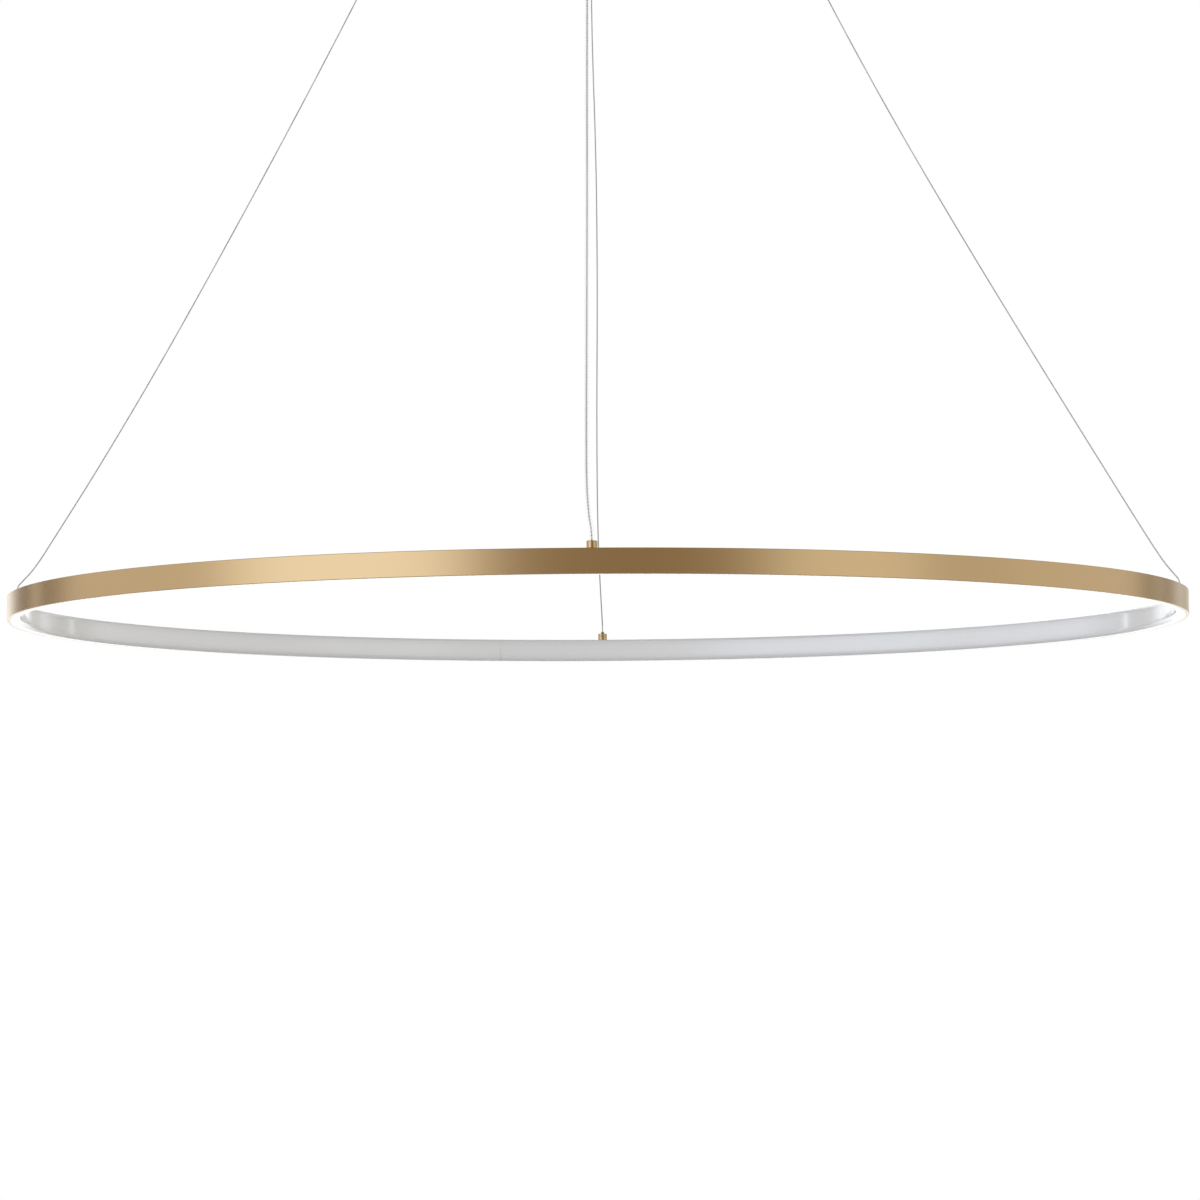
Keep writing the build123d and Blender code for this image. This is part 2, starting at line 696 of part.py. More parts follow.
# Gland in the canopy for the feed cord, with its grub screw
canopy_gland_point = at_angle(outlet_radius, feed_angle)
gland_grub_level = canopy_face - canopy_gland_length / 2
with BuildPart() as canopy_gland:
    turn_outline(
        [(cord_bore_diameter / 2, canopy_face - canopy_gland_length),
         (barrel_radius, canopy_face - canopy_gland_length), (barrel_radius, canopy_face),
         (neck_radius, canopy_face), (neck_radius, neck_top), (cord_bore_diameter / 2, neck_top)],
        canopy_gland_point,
    )
    with BuildSketch(Plane(origin=at_angle(outlet_radius, feed_angle, gland_grub_level),
                           z_dir=at_angle(-1, feed_angle))):
        Circle(grub_diameter / 2)
    extrude(amount=barrel_radius, mode=Mode.SUBTRACT)
save(canopy_gland, "canopy_gland")

with BuildPart() as canopy_gland_grub:
    inward = at_angle(-1, feed_angle)
    grub_start = cord_diameter / 2 + thread_clearance
    grub_end = barrel_radius - grub_recess
    grub_origin = at_angle(outlet_radius, feed_angle, gland_grub_level)
    with BuildSketch(Plane(origin=grub_origin + inward * grub_start, z_dir=inward)):
        Circle(grub_diameter / 2 - thread_clearance)
    extrude(amount=grub_end - grub_start)
    with BuildSketch(Plane(origin=grub_origin + inward * grub_end, z_dir=inward)):
        RegularPolygon(grub_socket / 2, 6, major_radius=False)
    extrude(amount=-grub_socket_depth, mode=Mode.SUBTRACT)
save(canopy_gland_grub, "canopy_gland_grub")

with BuildPart() as outlet_nuts:
    with BuildSketch(Plane.XY.offset(canopy_floor)):
        with Locations(*flat_points(outlet_points)):
            RegularPolygon(outlet_nut_flats / 2, 6, major_radius=False)
            Circle(neck_radius + thread_clearance, mode=Mode.SUBTRACT)
    extrude(amount=outlet_nut_height)
save(outlet_nuts, "outlet_nuts")

# Power supply, held on the studs by two nuts
with BuildPart() as led_driver:
    with BuildSketch(Plane.XY.offset(canopy_floor)):
        Rectangle(driver_length, driver_width)
    extrude(amount=driver_height)
    upright_edges = led_driver.edges().filter_by(Axis.Z)
    fillet(upright_edges + led_driver.faces().sort_by(Axis.Z)[-1].edges(), driver_round)
    with BuildSketch(Plane.XY.offset(canopy_floor)):
        with Locations(*stud_points):
            Rectangle(ear_length, ear_width)
    extrude(amount=ear_thickness)
    with BuildSketch(Plane.XY.offset(canopy_floor)):
        with Locations(*stud_points):
            Circle(stud_diameter / 2 + hole_clearance)
    extrude(amount=ear_thickness, mode=Mode.SUBTRACT)
save(led_driver, "led_driver")

with BuildPart() as driver_nuts:
    with BuildSketch(Plane.XY.offset(ear_top)):
        with Locations(*stud_points):
            RegularPolygon(driver_nut_flats / 2, 6, major_radius=False)
            Circle(stud_diameter / 2 + thread_clearance, mode=Mode.SUBTRACT)
    extrude(amount=driver_nut_height)
save(driver_nuts, "driver_nuts")

# Terminal block under the bracket, with a row of wire entries on each side
pole_offsets = [block_offset + (index - (pole_count - 1) / 2) * pole_pitch for index in range(pole_count)]
pole_screw_points = [
    (x, way * (block_width / 2 - pole_screw_setback)) for x in pole_offsets for way in (-1, 1)
]
with BuildPart() as terminal_block:
    with BuildSketch(Plane.XY.offset(-bracket_thickness)):
        with Locations((block_offset, 0)):
            Rectangle(block_length, block_width)
    extrude(amount=-block_height)
    fillet(terminal_block.edges().filter_by(Axis.Z), block_round)
    for way in (-1, 1):
        entry_face = Plane(origin=(0, way * block_width / 2, 0), x_dir=(1, 0, 0), z_dir=(0, way, 0))
        with BuildSketch(entry_face):
            with Locations(*[(x, way * (bracket_thickness + entry_drop)) for x in pole_offsets]):
                Circle(entry_diameter / 2)
        extrude(amount=-entry_depth, mode=Mode.SUBTRACT)
    with BuildSketch(Plane.XY.offset(block_under)):
        with Locations(*pole_screw_points):
            Circle(pole_screw_diameter / 2 + thread_clearance)
    extrude(amount=pole_screw_depth, mode=Mode.SUBTRACT)
    with BuildSketch(Plane.XY.offset(block_under)):
        with Locations((block_offset, 0)):
            Circle(block_screw_diameter / 2 + hole_clearance)
    extrude(amount=block_height, mode=Mode.SUBTRACT)
    with BuildSketch(Plane.XY.offset(block_under)):
        with Locations((block_offset, 0)):
            Circle(block_screw_head_diameter / 2 + hole_clearance)
    extrude(amount=block_screw_head_height, mode=Mode.SUBTRACT)
save(terminal_block, "terminal_block")

with BuildPart() as terminal_screws:
    slot_cut = pole_screw_diameter / 4
    with BuildSketch(Plane.XY.offset(block_under)):
        with Locations(*pole_screw_points):
            Circle(pole_screw_diameter / 2)
    extrude(amount=pole_screw_depth)
    with BuildSketch(Plane.XY.offset(block_under)):
        with Locations(*pole_screw_points):
            Rectangle(pole_screw_diameter, slot_cut)
    extrude(amount=slot_cut, mode=Mode.SUBTRACT)
save(terminal_screws, "terminal_screws")

with BuildPart() as block_screw:
    head_under = block_under + block_screw_head_height
    shank_radius = block_screw_diameter / 2 - thread_clearance
    turn_outline(
        [(0, block_under), (block_screw_head_diameter / 2, block_under),
         (block_screw_head_diameter / 2, head_under), (shank_radius, head_under), (shank_radius, 0), (0, 0)],
        Vector(block_offset, 0, 0),
    )
save(block_screw, "block_screw")

# Earth screw in the bracket and the lead that its head clamps
tag_under = -bracket_thickness - earth_tag_thickness
with BuildPart() as earth_screw:
    shank_radius = earth_screw_diameter / 2 - thread_clearance
    turn_outline(
        [(0, tag_under - earth_head_height), (earth_head_diameter / 2, tag_under - earth_head_height),
         (earth_head_diameter / 2, tag_under), (shank_radius, tag_under), (shank_radius, 0), (0, 0)],
        Vector(earth_offset, 0, 0),
    )
save(earth_screw, "earth_screw")

with BuildPart() as earth_lead:
    sweep_route("earth lead", [Vector(*point) for point in earth_route], lead_diameter)
    with BuildSketch(Plane.XY.offset(-bracket_thickness)):
        with Locations((earth_offset, 0)):
            Circle(earth_tag_diameter / 2)
    extrude(amount=-earth_tag_thickness)
    with BuildSketch(Plane.XY.offset(-bracket_thickness)):
        with Locations((earth_offset, 0)):
            Circle(earth_screw_diameter / 2)
    extrude(amount=-lead_diameter - earth_tag_thickness, mode=Mode.SUBTRACT)
save(earth_lead, "earth_lead")

# Leads between the terminal block, the power supply and the cord's connector
for lead_name, lead_route in (("mains_lead_live", live_route), ("mains_lead_neutral", neutral_route)):
    with BuildPart() as mains_lead:
        sweep_route(lead_name, [Vector(*point) for point in lead_route], lead_diameter)
    save(mains_lead, lead_name)

with BuildPart() as output_leads:
    for lead_route in output_routes:
        sweep_route("output lead", over_floor(lead_route), lead_diameter)
save(output_leads, "output_leads")

with BuildPart() as output_connector:
    with BuildSketch(Plane.XY.offset(canopy_floor)):
        with Locations((0, connector_y)):
            Rectangle(connector_length, connector_width)
    extrude(amount=connector_height)
    fillet(output_connector.edges().filter_by(Axis.Z), connector_round)
save(output_connector, "output_connector")

with BuildPart() as feed_cord_tail:
    sweep_route("cord tail", over_floor(cord_tail_route), cord_diameter)
save(feed_cord_tail, "feed_cord_tail")

# Suspension wires, their ends above the grippers, and the feed cord
wire_top = ring_top + wire_route[-1][1]
for side, angle in wire_side_angles.items():
    with BuildPart() as wire:
        points = [at_angle(radius, angle, ring_top + height) for radius, height in wire_route]
        sweep_route(f"wire {side}", points, wire_diameter)
    save(wire, f"wire_{side}")

with BuildPart() as wire_tails:
    with BuildSketch(Plane.XY.offset(wire_top)):
        with Locations(*flat_points(gripper_points.values())):
            Circle(wire_diameter / 2)
    extrude(amount=neck_top + tail_above_neck - wire_top)
save(wire_tails, "wire_tails")

with BuildPart() as feed_cord:
    points = [Vector(lean, -radius, ring_top + height) for radius, height, lean in cord_route]
    sweep_route("feed cord", points, cord_diameter)
save(feed_cord, "feed_cord")
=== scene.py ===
"""Looks of the ring chandelier: its finishes, fine meshes, wires and cord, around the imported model."""
import json
import logging
import math
from collections.abc import Callable, Iterable, Sequence
from dataclasses import dataclass, field
from enum import Enum

import bmesh
import bpy
from mathutils import Matrix, Vector


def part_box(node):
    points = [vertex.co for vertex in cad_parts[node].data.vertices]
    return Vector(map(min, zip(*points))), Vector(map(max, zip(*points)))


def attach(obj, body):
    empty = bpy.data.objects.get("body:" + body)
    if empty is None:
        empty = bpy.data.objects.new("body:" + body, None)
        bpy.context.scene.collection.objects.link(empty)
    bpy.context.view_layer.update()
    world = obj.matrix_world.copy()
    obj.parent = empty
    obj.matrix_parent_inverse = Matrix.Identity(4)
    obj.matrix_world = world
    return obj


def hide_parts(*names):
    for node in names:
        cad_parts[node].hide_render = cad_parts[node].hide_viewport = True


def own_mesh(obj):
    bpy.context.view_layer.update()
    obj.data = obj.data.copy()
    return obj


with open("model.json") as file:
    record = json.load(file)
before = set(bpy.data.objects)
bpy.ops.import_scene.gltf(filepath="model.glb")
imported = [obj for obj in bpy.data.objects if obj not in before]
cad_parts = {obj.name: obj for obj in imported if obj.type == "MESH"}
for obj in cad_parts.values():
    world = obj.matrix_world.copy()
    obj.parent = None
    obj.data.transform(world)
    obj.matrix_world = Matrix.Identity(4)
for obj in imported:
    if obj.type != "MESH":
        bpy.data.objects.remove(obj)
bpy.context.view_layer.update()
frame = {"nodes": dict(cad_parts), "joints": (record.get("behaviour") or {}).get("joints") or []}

MM = 0.001
UP = Vector((0.0, 0.0, 1.0))
FEED_ANGLE = 270.0
SMOOTH_LIMIT = math.radians(32.0)
# Points closer than this, in metres, count as one
TOLERANCE = 1e-6
# Inset of the fittings and screws from the ring's outer face, and the fittings' bores, in millimetres
FITTING_INSET = 4.6
WIRE_BORE = 0.9
CORD_BORE = 2.1
# Lowest and highest value that a grain's noise often has
NOISE_RANGE = (0.25, 0.75)
# Multiplied with a direction, this lays it flat
FLAT = (1.0, 1.0, 0.0)
WHITE = (1.0, 1.0, 1.0, 1.0)
log = logging.getLogger("ring_chandelier")

Colour = tuple[float, float, float]
# Control points of several leads
Routes = list[list[tuple[float, float, float]]]
# A tube's section: two offsets from its line, at an angle and a distance along it
Section = Callable[[float, float], tuple[float, float]]


class Side(Enum):
    """A side of the lamp where a wire hangs, with its angle in degrees."""

    RIGHT = 0.0
    REAR = 90.0
    LEFT = 180.0

    @property
    def label(self) -> str:
        """Give the side's name, as the frame's nodes and joints have it."""
        return self.name.lower()


# Routes of the hanging wires and the cord, as radius and height over the ring's top in millimetres.
# The cord's third value is its sideways lean.
WIRE_ROUTE = [
    (495.4, 2.4), (495.4, 12.4), (491.2, 18.0), (482.37, 30.0), (464.8, 58.0), (432.67, 110.0),
    (378.6, 200.0), (315.15, 310.0), (254.6, 420.0), (196.97, 530.0), (142.23, 640.0),
    (101.92, 725.0), (79.03, 775.0), (67.71, 800.2), (63.74, 809.1), (60.0, 817.6), (60.0, 823.0),
]
CORD_ROUTE = [
    (495.4, 1.4, 0.0), (495.4, 12.0, -0.1), (492.8, 24.0, -2.2), (486.3, 40.5, -3.5),
    (474.0, 62.0, -4.2), (447.0, 104.5, -4.3), (391.0, 195.0, -4.1), (329.0, 300.0, -3.9),
    (265.0, 413.0, -4.2), (203.5, 526.0, -3.8), (146.5, 636.0, -2.8), (103.0, 725.0, -1.6),
    (86.0, 761.0, -1.0), (75.5, 785.0, -0.6), (67.5, 805.0, -0.2), (62.2, 819.5, 0.0),
    (60.0, 828.0, 0.0), (60.0, 834.0, 0.0),
]
# The wires aren't quite straight: their sideways waver at each point of the route, towards +X
WIRE_WAVER = {
    Side.RIGHT: [
        0.0, 0.0, -0.9, -2.0, -2.0, -1.4, -1.6, -3.3, -5.2, -5.0, -3.5, -2.0, -1.0, -0.4, -0.1, 0.0, 0.0,
    ],
    Side.REAR: [
        0.0, 0.0, -0.2, -0.8, -2.2, -3.7, -3.4, -1.5, -1.5, -4.6, -4.0, -2.4, -1.2, -0.5, -0.2, 0.0, 0.0,
    ],
    Side.LEFT: [
        0.0, 0.0, 1.2, 3.6, 3.7, 4.5, 3.9, 1.5, 0.0, -0.6, -0.4, 0.0, 0.0, 0.0, 0.0, 0.0, 0.0,
    ],
}

# Routes of the short leads in the canopy, in millimetres in the part's own frame
LEAD_ROUTES: dict[str, Routes] = {
    "mains_lead_live": [[
        (31, -8, -8), (31, -18, -8), (35.5, -24.5, -10.5), (42.5, -25, -16), (48, -20, -22),
        (49, -14.5, -26.5), (45.5, -11.5, -28), (40, -11.5, -28),
    ]],
    "mains_lead_neutral": [[
        (24, -8, -8), (24, -18, -8), (28.5, -26, -10.5), (38.5, -29.5, -17), (48, -25.5, -24.5),
        (50.5, -18, -30), (46, -14.5, -32), (40, -14.5, -32),
    ]],
    "earth_lead": [[
        (17, -8, -8), (17, -16.5, -8), (12, -20, -7.5), (-6, -20.5, -6.5), (-18, -18, -5),
        (-23.5, -11.5, -3.4), (-24, -4, -2.9),
    ]],
    "output_leads": [
        [(-40, -8, -30), (-45.5, -8, -30), (-49, -14.5, -30), (-46.5, -26, -30.5), (-37, -33, -31.5),
         (-22, -34.5, -33), (-9, -34.5, -33)],
        [(-40, -11.5, -32.5), (-44, -11.5, -32.5), (-46.3, -17, -32.5), (-43, -25.5, -33),
         (-34, -30.5, -34), (-21, -31.5, -35.5), (-9, -31.5, -35.5)],
    ],
}
STRIP_LEAD_DIAMETER = 1.2
STRIP_LEAD_ROUTES: Routes = [
    [(side, -495.4, -877), (side, -495.4, -882.3), (side, -496.45, -886.8), (side, -497.5, -890.8)]
    for side in (-0.65, 0.65)
]
CORD_TAIL_ROUTE = [
    (0, -60, -44), (0, -60, -22), (0, -53, -13), (0, -42, -13), (0, -36, -20), (0, -36, -28),
]


def linear(hex_colour: str) -> tuple[float, float, float, float]:
    """Turn an sRGB hex value into a linear colour.

    Args:
        hex_colour: Six hex digits.

    Returns:
        Linear red, green and blue, with an alpha of 1.
    """
    parts = [int(hex_colour[at:at + 2], 16) / 255 for at in (0, 2, 4)]
    red, green, blue = (
        ((part + 0.055) / 1.055) ** 2.4 if part > 0.04045 else part / 12.92 for part in parts
    )
    return red, green, blue, 1.0


def add_node(
    tree: bpy.types.NodeTree,
    kind: str,
    settings: dict[str, object] | None = None,
    inputs: dict[str | int, object] | None = None,
) -> bpy.types.Node:
    """Add a node with its settings, and set or link its inputs.

    Args:
        tree: Node tree that gets the node.
        kind: Blender's name for the node.
        settings: The node's own attributes.
        inputs: Input name or number, with a value, or with a socket to link from.

    Returns:
        The new node.
    """
    node = tree.nodes.new(kind)
    for name, value in (settings or {}).items():
        setattr(node, name, value)
    for name, value in (inputs or {}).items():
        if isinstance(value, bpy.types.NodeSocket):
            tree.links.new(value, node.inputs[name])
        else:
            node.inputs[name].default_value = value
    return node


@dataclass(frozen=True)
class Finish:
    """A surface finish: its shader's values and the grain that breaks them up.

    The grain is a noise whose size along X, Y and Z is given in millimetres, so a long size draws streaks.
    A painted shade comes in at the edges, at these shares of the height between two levels, counted from the
    middle.
    """

    name: str
    slot: str
    colour: str
    dark: str
    metallic: float = 0.0
    roughness: float = 0.4
    roughness_spread: float = 0.06
    grain_mm: tuple[float, float, float] = (1.0, 1.0, 1.0)
    grain_depth_mm: float = 0.01
    bump: float = 0.15
    ior: float = 1.5
    subsurface: float = 0.0
    subsurface_mm: float = 3.0
    transmission: float = 0.0
    painted_edge_shade: str = ""
    edge_levels_mm: tuple[float, float] = (0.0, 1.0)
    edge_shares: tuple[float, float] = (0.1, 0.5)
    made: dict[str, bpy.types.Material] = field(default_factory=dict, compare=False, hash=False)

    def material(self) -> bpy.types.Material:
        """Give the finish's material, which is made once.

        Returns:
            The material.
        """
        if self.name not in self.made:
            self.made[self.name] = self._build()
        return self.made[self.name]

    def _build(self) -> bpy.types.Material:
        """Build the node tree.

        Returns:
            The new material.
        """
        material = bpy.data.materials.new(self.name)
        material.use_nodes = True
        tree = material.node_tree
        tree.nodes.clear()
        place = add_node(tree, "ShaderNodeTexCoord").outputs["Object"]
        scale = tuple(1 / (size * MM) for size in self.grain_mm)
        grain_place = add_node(tree, "ShaderNodeMapping", None, {"Vector": place, "Scale": scale})
        grain = add_node(
            tree, "ShaderNodeTexNoise", None,
            {"Vector": grain_place.outputs["Vector"], "Scale": 1.0, "Detail": 4.0, "Roughness": 0.6},
        ).outputs["Fac"]
        colour = add_node(
            tree, "ShaderNodeMix", {"data_type": "RGBA"},
            {"Factor": grain, "A": linear(self.dark), "B": linear(self.colour)},
        )
        roughness = add_node(
            tree, "ShaderNodeMapRange", None,
            {"Value": grain, "From Min": NOISE_RANGE[0], "From Max": NOISE_RANGE[1],
             "To Min": self.roughness - self.roughness_spread,
             "To Max": self.roughness + self.roughness_spread},
        )
        bump = add_node(
            tree, "ShaderNodeBump", None,
            {"Strength": self.bump, "Distance": self.grain_depth_mm * MM, "Height": grain},
        )
        # Painted shade: the colour greys towards the piece's upper and lower edges
        if self.painted_edge_shade:
            colour = self._paint_edge_shade(tree, place, colour.outputs["Result"])
        values: dict[str | int, object] = {
            "Base Color": colour.outputs["Result"],
            "Roughness": roughness.outputs["Result"],
            "Normal": bump.outputs["Normal"],
            "Metallic": self.metallic,
            "Subsurface Weight": self.subsurface,
            "Subsurface Radius": (1.0, 1.0, 1.0),
            "Subsurface Scale": self.subsurface_mm * MM,
            "Transmission Weight": self.transmission,
        }
        if not self.metallic:
            values["IOR"] = self.ior
        shader = add_node(tree, "ShaderNodeBsdfPrincipled", None, values)
        add_node(tree, "ShaderNodeOutputMaterial", None, {"Surface": shader.outputs["BSDF"]})
        return material

    def _paint_edge_shade(
        self, tree: bpy.types.NodeTree, place: bpy.types.NodeSocket, colour: bpy.types.NodeSocket
    ) -> bpy.types.Node:
        """Blend the colour towards the painted edge shade at the piece's lower and upper edge.

        Args:
            tree: The material's node tree.
            place: Object coordinates.
            colour: Colour between the edges.

        Returns:
            The node whose result is the blended colour.
        """
        low, high = (level * MM for level in self.edge_levels_mm)
        start, full = (share * (high - low) for share in self.edge_shares)
        height = add_node(tree, "ShaderNodeSeparateXYZ", None, {"Vector": place}).outputs["Z"]
        over = add_node(
            tree, "ShaderNodeMath", {"operation": "SUBTRACT"}, {0: height, 1: (low + high) / 2}
        )
        away = add_node(tree, "ShaderNodeMath", {"operation": "ABSOLUTE"}, {0: over.outputs["Value"]})
        near_edge = add_node(
            tree, "ShaderNodeMapRange", {"interpolation_type": "SMOOTHSTEP"},
            {"Value": away.outputs["Value"], "From Min": start, "From Max": full},
        )
        return add_node(
            tree, "ShaderNodeMix", {"data_type": "RGBA"},
            {"Factor": near_edge.outputs["Result"], "A": colour, "B": linear(self.painted_edge_shade)},
        )


# Anodised aluminium, rolled to a hoop: satin, with a fine grain along the band, drawn coarser than it is
# so that it shows
SATIN_GOLD = Finish(
    "anodised_gold_aluminium", "satin_gold_aluminium", "BEA37A", "B89C74", metallic=1.0, roughness=0.23,
    roughness_spread=0.02, grain_mm=(160.0, 160.0, 0.5), grain_depth_mm=0.003, bump=0.06,
)
# Lacquered brass from the lathe: fine rings round each fitting, drawn coarser than they are so that they show
TURNED_BRASS = Finish(
    "turned_brass", "turned_brass", "BDA379", "A88C61", metallic=1.0, roughness=0.18, roughness_spread=0.04,
    grain_mm=(30.0, 30.0, 0.35), grain_depth_mm=0.01, bump=0.15,
)
# Opal polycarbonate, extruded: milky and glossy, with faint draw lines round the ring, and with painted shade
# that greys it towards its upper and lower edges
OPAL = Finish(
    "extruded_opal_polycarbonate", "opal_plastic", "F3F3F3", "F0F0F0", roughness=0.1, roughness_spread=0.02,
    grain_mm=(220.0, 220.0, 1.6), grain_depth_mm=0.004, bump=0.05, ior=1.58, subsurface=0.2,
    painted_edge_shade="E4E4E5", edge_levels_mm=tuple(corner.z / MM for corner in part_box("ring_diffuser")),
)
# Galvanised steel rope: pale grey strands with a dull sheen
ROPE_STEEL = Finish(
    "galvanised_wire_rope", "steel_wire", "D8D8D6", "B2B2B1", metallic=1.0, roughness=0.38,
    grain_mm=(0.5, 0.5, 3.0), grain_depth_mm=0.02, bump=0.2,
)
# Clear soft vinyl over the cord's pair: almost unseen on white, but for its edges
CLEAR_VINYL = Finish(
    "clear_vinyl_sheath", "clear_cord", "FDFDFC", "F9F9F8", roughness=0.05, roughness_spread=0.02,
    grain_mm=(2.0, 2.0, 9.0), grain_depth_mm=0.02, bump=0.05, ior=1.5, transmission=1.0,
)
# Tinned copper of the twisted pair inside the clear sheath: a thin grey line with bright turns
TINNED_CORE = Finish(
    "tinned_copper_core", "clear_cord", "E2E2E0", "C4C4C2", metallic=0.85, roughness=0.4,
    grain_mm=(0.6, 0.6, 1.4), grain_depth_mm=0.03, bump=0.2,
)
# Zinc plated pressed steel: blue-grey with soft spangle
ZINC = Finish(
    "zinc_plated_steel", "zinc_steel", "BFC3C6", "9EA2A6", metallic=1.0, roughness=0.34,
    roughness_spread=0.09, grain_mm=(2.4, 2.4, 2.4), grain_depth_mm=0.01, bump=0.2,
)
# Hardened bright steel of grub screws, balls and springs: a dark mirror with faint marks
BRIGHT_STEEL = Finish(
    "hardened_bright_steel", "bright_steel", "C4C3C1", "9B9A98", metallic=1.0, roughness=0.2,
    grain_mm=(0.6, 0.6, 0.2), grain_depth_mm=0.01, bump=0.2,
)
# Spark-eroded ABS of the power supply's case: matt, with a fine pebbled skin
DRIVER_ABS = Finish(
    "moulded_abs_case", "driver_case", "E4E3DD", "DCDBD4", roughness=0.52,
    grain_mm=(0.7, 0.7, 0.7), grain_depth_mm=0.05, bump=0.3, ior=1.52,
)
# Polyamide of the terminal block and connector: waxy, a little yellow
POLYAMIDE = Finish(
    "moulded_polyamide", "white_plastic", "E2E0D6", "D9D6CB", roughness=0.42,
    grain_mm=(1.5, 1.5, 1.5), grain_depth_mm=0.03, bump=0.2, ior=1.53, subsurface=0.1, subsurface_mm=1.0,
)
# White solder mask of the light strip: plain white with a soft gloss
SOLDER_MASK = Finish(
    "white_solder_mask", "strip_board", "EFEFEA", "E4E4DE", roughness=0.4, grain_mm=(3.0, 3.0, 1.0),
)
# Yellow phosphor gel of the light chips: glossy and warm
PHOSPHOR = Finish(
    "phosphor_gel", "led_package", "EBD873", "E2CC5C", roughness=0.22, grain_mm=(0.4, 0.4, 0.4), ior=1.45,
)


def insulation(name: str, slot: str, colour: str, dark: str) -> Finish:
    """Give the finish of a lead's glossy vinyl insulation.

    Args:
        name: Name of the finish.
        slot: The record's material slot.
        colour: sRGB hex of the light parts.
        dark: sRGB hex of the dark parts.

    Returns:
        The finish.
    """
    return Finish(
        name, slot, colour, dark, roughness=0.3, grain_mm=(1.5, 1.5, 1.5), grain_depth_mm=0.02, ior=1.53
    )


# Vinyl insulation of the leads: glossy, in the usual colours of wiring
LEAD_FINISHES = {
    "mains_lead_live": insulation("brown_vinyl", "brown_lead", "6A4028", "5C3520"),
    "mains_lead_neutral": insulation("blue_vinyl", "blue_lead", "2B5FA8", "235093"),
    "earth_lead": insulation("green_yellow_vinyl", "earth_lead", "8FB22E", "3E8A2F"),
    "output_leads": insulation("grey_vinyl", "output_lead", "CFCFCD", "BDBDBB"),
    "strip_leads": insulation("white_vinyl", "strip_lead", "E6E6E4", "D8D8D6"),
}


def at_angle(radius: float, angle: float, level: float = 0.0) -> Vector:
    """Give the point at a radius, an angle in degrees and a level about the ring's axis."""
    turned = math.radians(angle)
    return Vector((radius * math.cos(turned), radius * math.sin(turned), level))


def joint_row(name: str) -> dict:
    """Give the frame's row of a joint."""
    return next(row for row in frame["joints"] if row["name"] == name)


def dress(node: str, finish: Finish) -> None:
    """Give a CAD node that stays its finish.

    Args:
        node: The node.
        finish: Its finish.
    """
    carried = frame["nodes"][node]
    carried.data.materials.clear()
    carried.data.materials.append(finish.material())
    log.info("%s: %s", node, finish.name)


def piece_from(
    bm: bmesh.types.BMesh, name: str, finish: Finish, body: str, *nodes: str
) -> bpy.types.Object:
    """Turn a finished bmesh into a piece that rides on a body and stands for CAD nodes.

    Args:
        bm: The shape, which is freed.
        name: Name of the piece.
        finish: Its finish.
        body: CAD body that it rides on.
        nodes: CAD nodes that it stands for.

    Returns:
        The new object.
    """
    mesh = bpy.data.meshes.new(name)
    bm.to_mesh(mesh)
    bm.free()
    mesh.polygons.foreach_set("use_smooth", [True] * len(mesh.polygons))
    mesh.set_sharp_from_angle(angle=SMOOTH_LIMIT)
    mesh.materials.append(finish.material())
    piece = bpy.data.objects.new(name, mesh)
    bpy.context.scene.collection.objects.link(piece)
    # Flat faces stay flat to the eye beside their roundings
    piece.modifiers.new("weighted_normals", "WEIGHTED_NORMAL").keep_sharp = True
    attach(piece, body)
    if nodes:
        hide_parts(*nodes)
    log.info("%s: %d faces on %s", name, len(mesh.polygons), body)
    return piece


@dataclass(frozen=True)
class Corner:
    """A corner of a turned outline: its radius and level in millimetres, and its rounding."""

    radius: float
    level: float
    rounding: float = 0.0
    steps: int = 3


def draw_outline(bm: bmesh.types.BMesh, corners: Sequence[Corner]) -> bmesh.types.BMFace:
    """Draw a closed outline in the XZ plane, with its corners rounded.

    Args:
        bm: Bmesh that gets the outline.
        corners: The outline's corners.

    Returns:
        The outline's flat face.
    """
    verts = [bm.verts.new((corner.radius * MM, 0.0, corner.level * MM)) for corner in corners]
    face = bm.faces.new(verts)
    for vert, corner in zip(verts, corners):
        if corner.rounding:
            bmesh.ops.bevel(
                bm, geom=[vert], offset=corner.rounding * MM, offset_type="OFFSET", segments=corner.steps,
                profile=0.5, affect="VERTICES", material=-1,
            )
            face = bm.faces[:][0]
    return face


def turn(
    bm: bmesh.types.BMesh,
    corners: Sequence[Corner],
    centre: Vector,
    segments: int,
    start: float = 0.0,
    sweep: float = 360.0,
) -> list[bmesh.types.BMVert]:
    """Spin an outline about an upright axis, and add it to a bmesh.

    Args:
        bm: Bmesh that gets the turned shape.
        corners: The outline, in millimetres from the axis and over the level of the centre.
        centre: Point on the axis.
        segments: Steps of the spin.
        start: Angle where it starts, in degrees.
        sweep: Angle that it covers, in degrees.

    Returns:
        The new vertices.
    """
    shape = bmesh.new()
    face = draw_outline(shape, corners)
    full = sweep >= 360.0
    if full:
        bmesh.ops.delete(shape, geom=[face], context="FACES_ONLY")
    bmesh.ops.spin(
        shape, geom=shape.verts[:] + shape.edges[:] + shape.faces[:], axis=UP, cent=(0.0, 0.0, 0.0),
        angle=math.radians(min(sweep, 360.0)), steps=segments, use_merge=full, use_duplicate=False,
    )
    bmesh.ops.remove_doubles(shape, verts=shape.verts[:], dist=TOLERANCE)
    bmesh.ops.dissolve_degenerate(shape, edges=shape.edges[:], dist=TOLERANCE / 10)
    bmesh.ops.recalc_face_normals(shape, faces=shape.faces[:])
    place = Matrix.Translation(centre) @ Matrix.Rotation(math.radians(start), 4, "Z")
    bmesh.ops.transform(shape, matrix=place, verts=shape.verts[:])
    return merge_into(bm, shape)


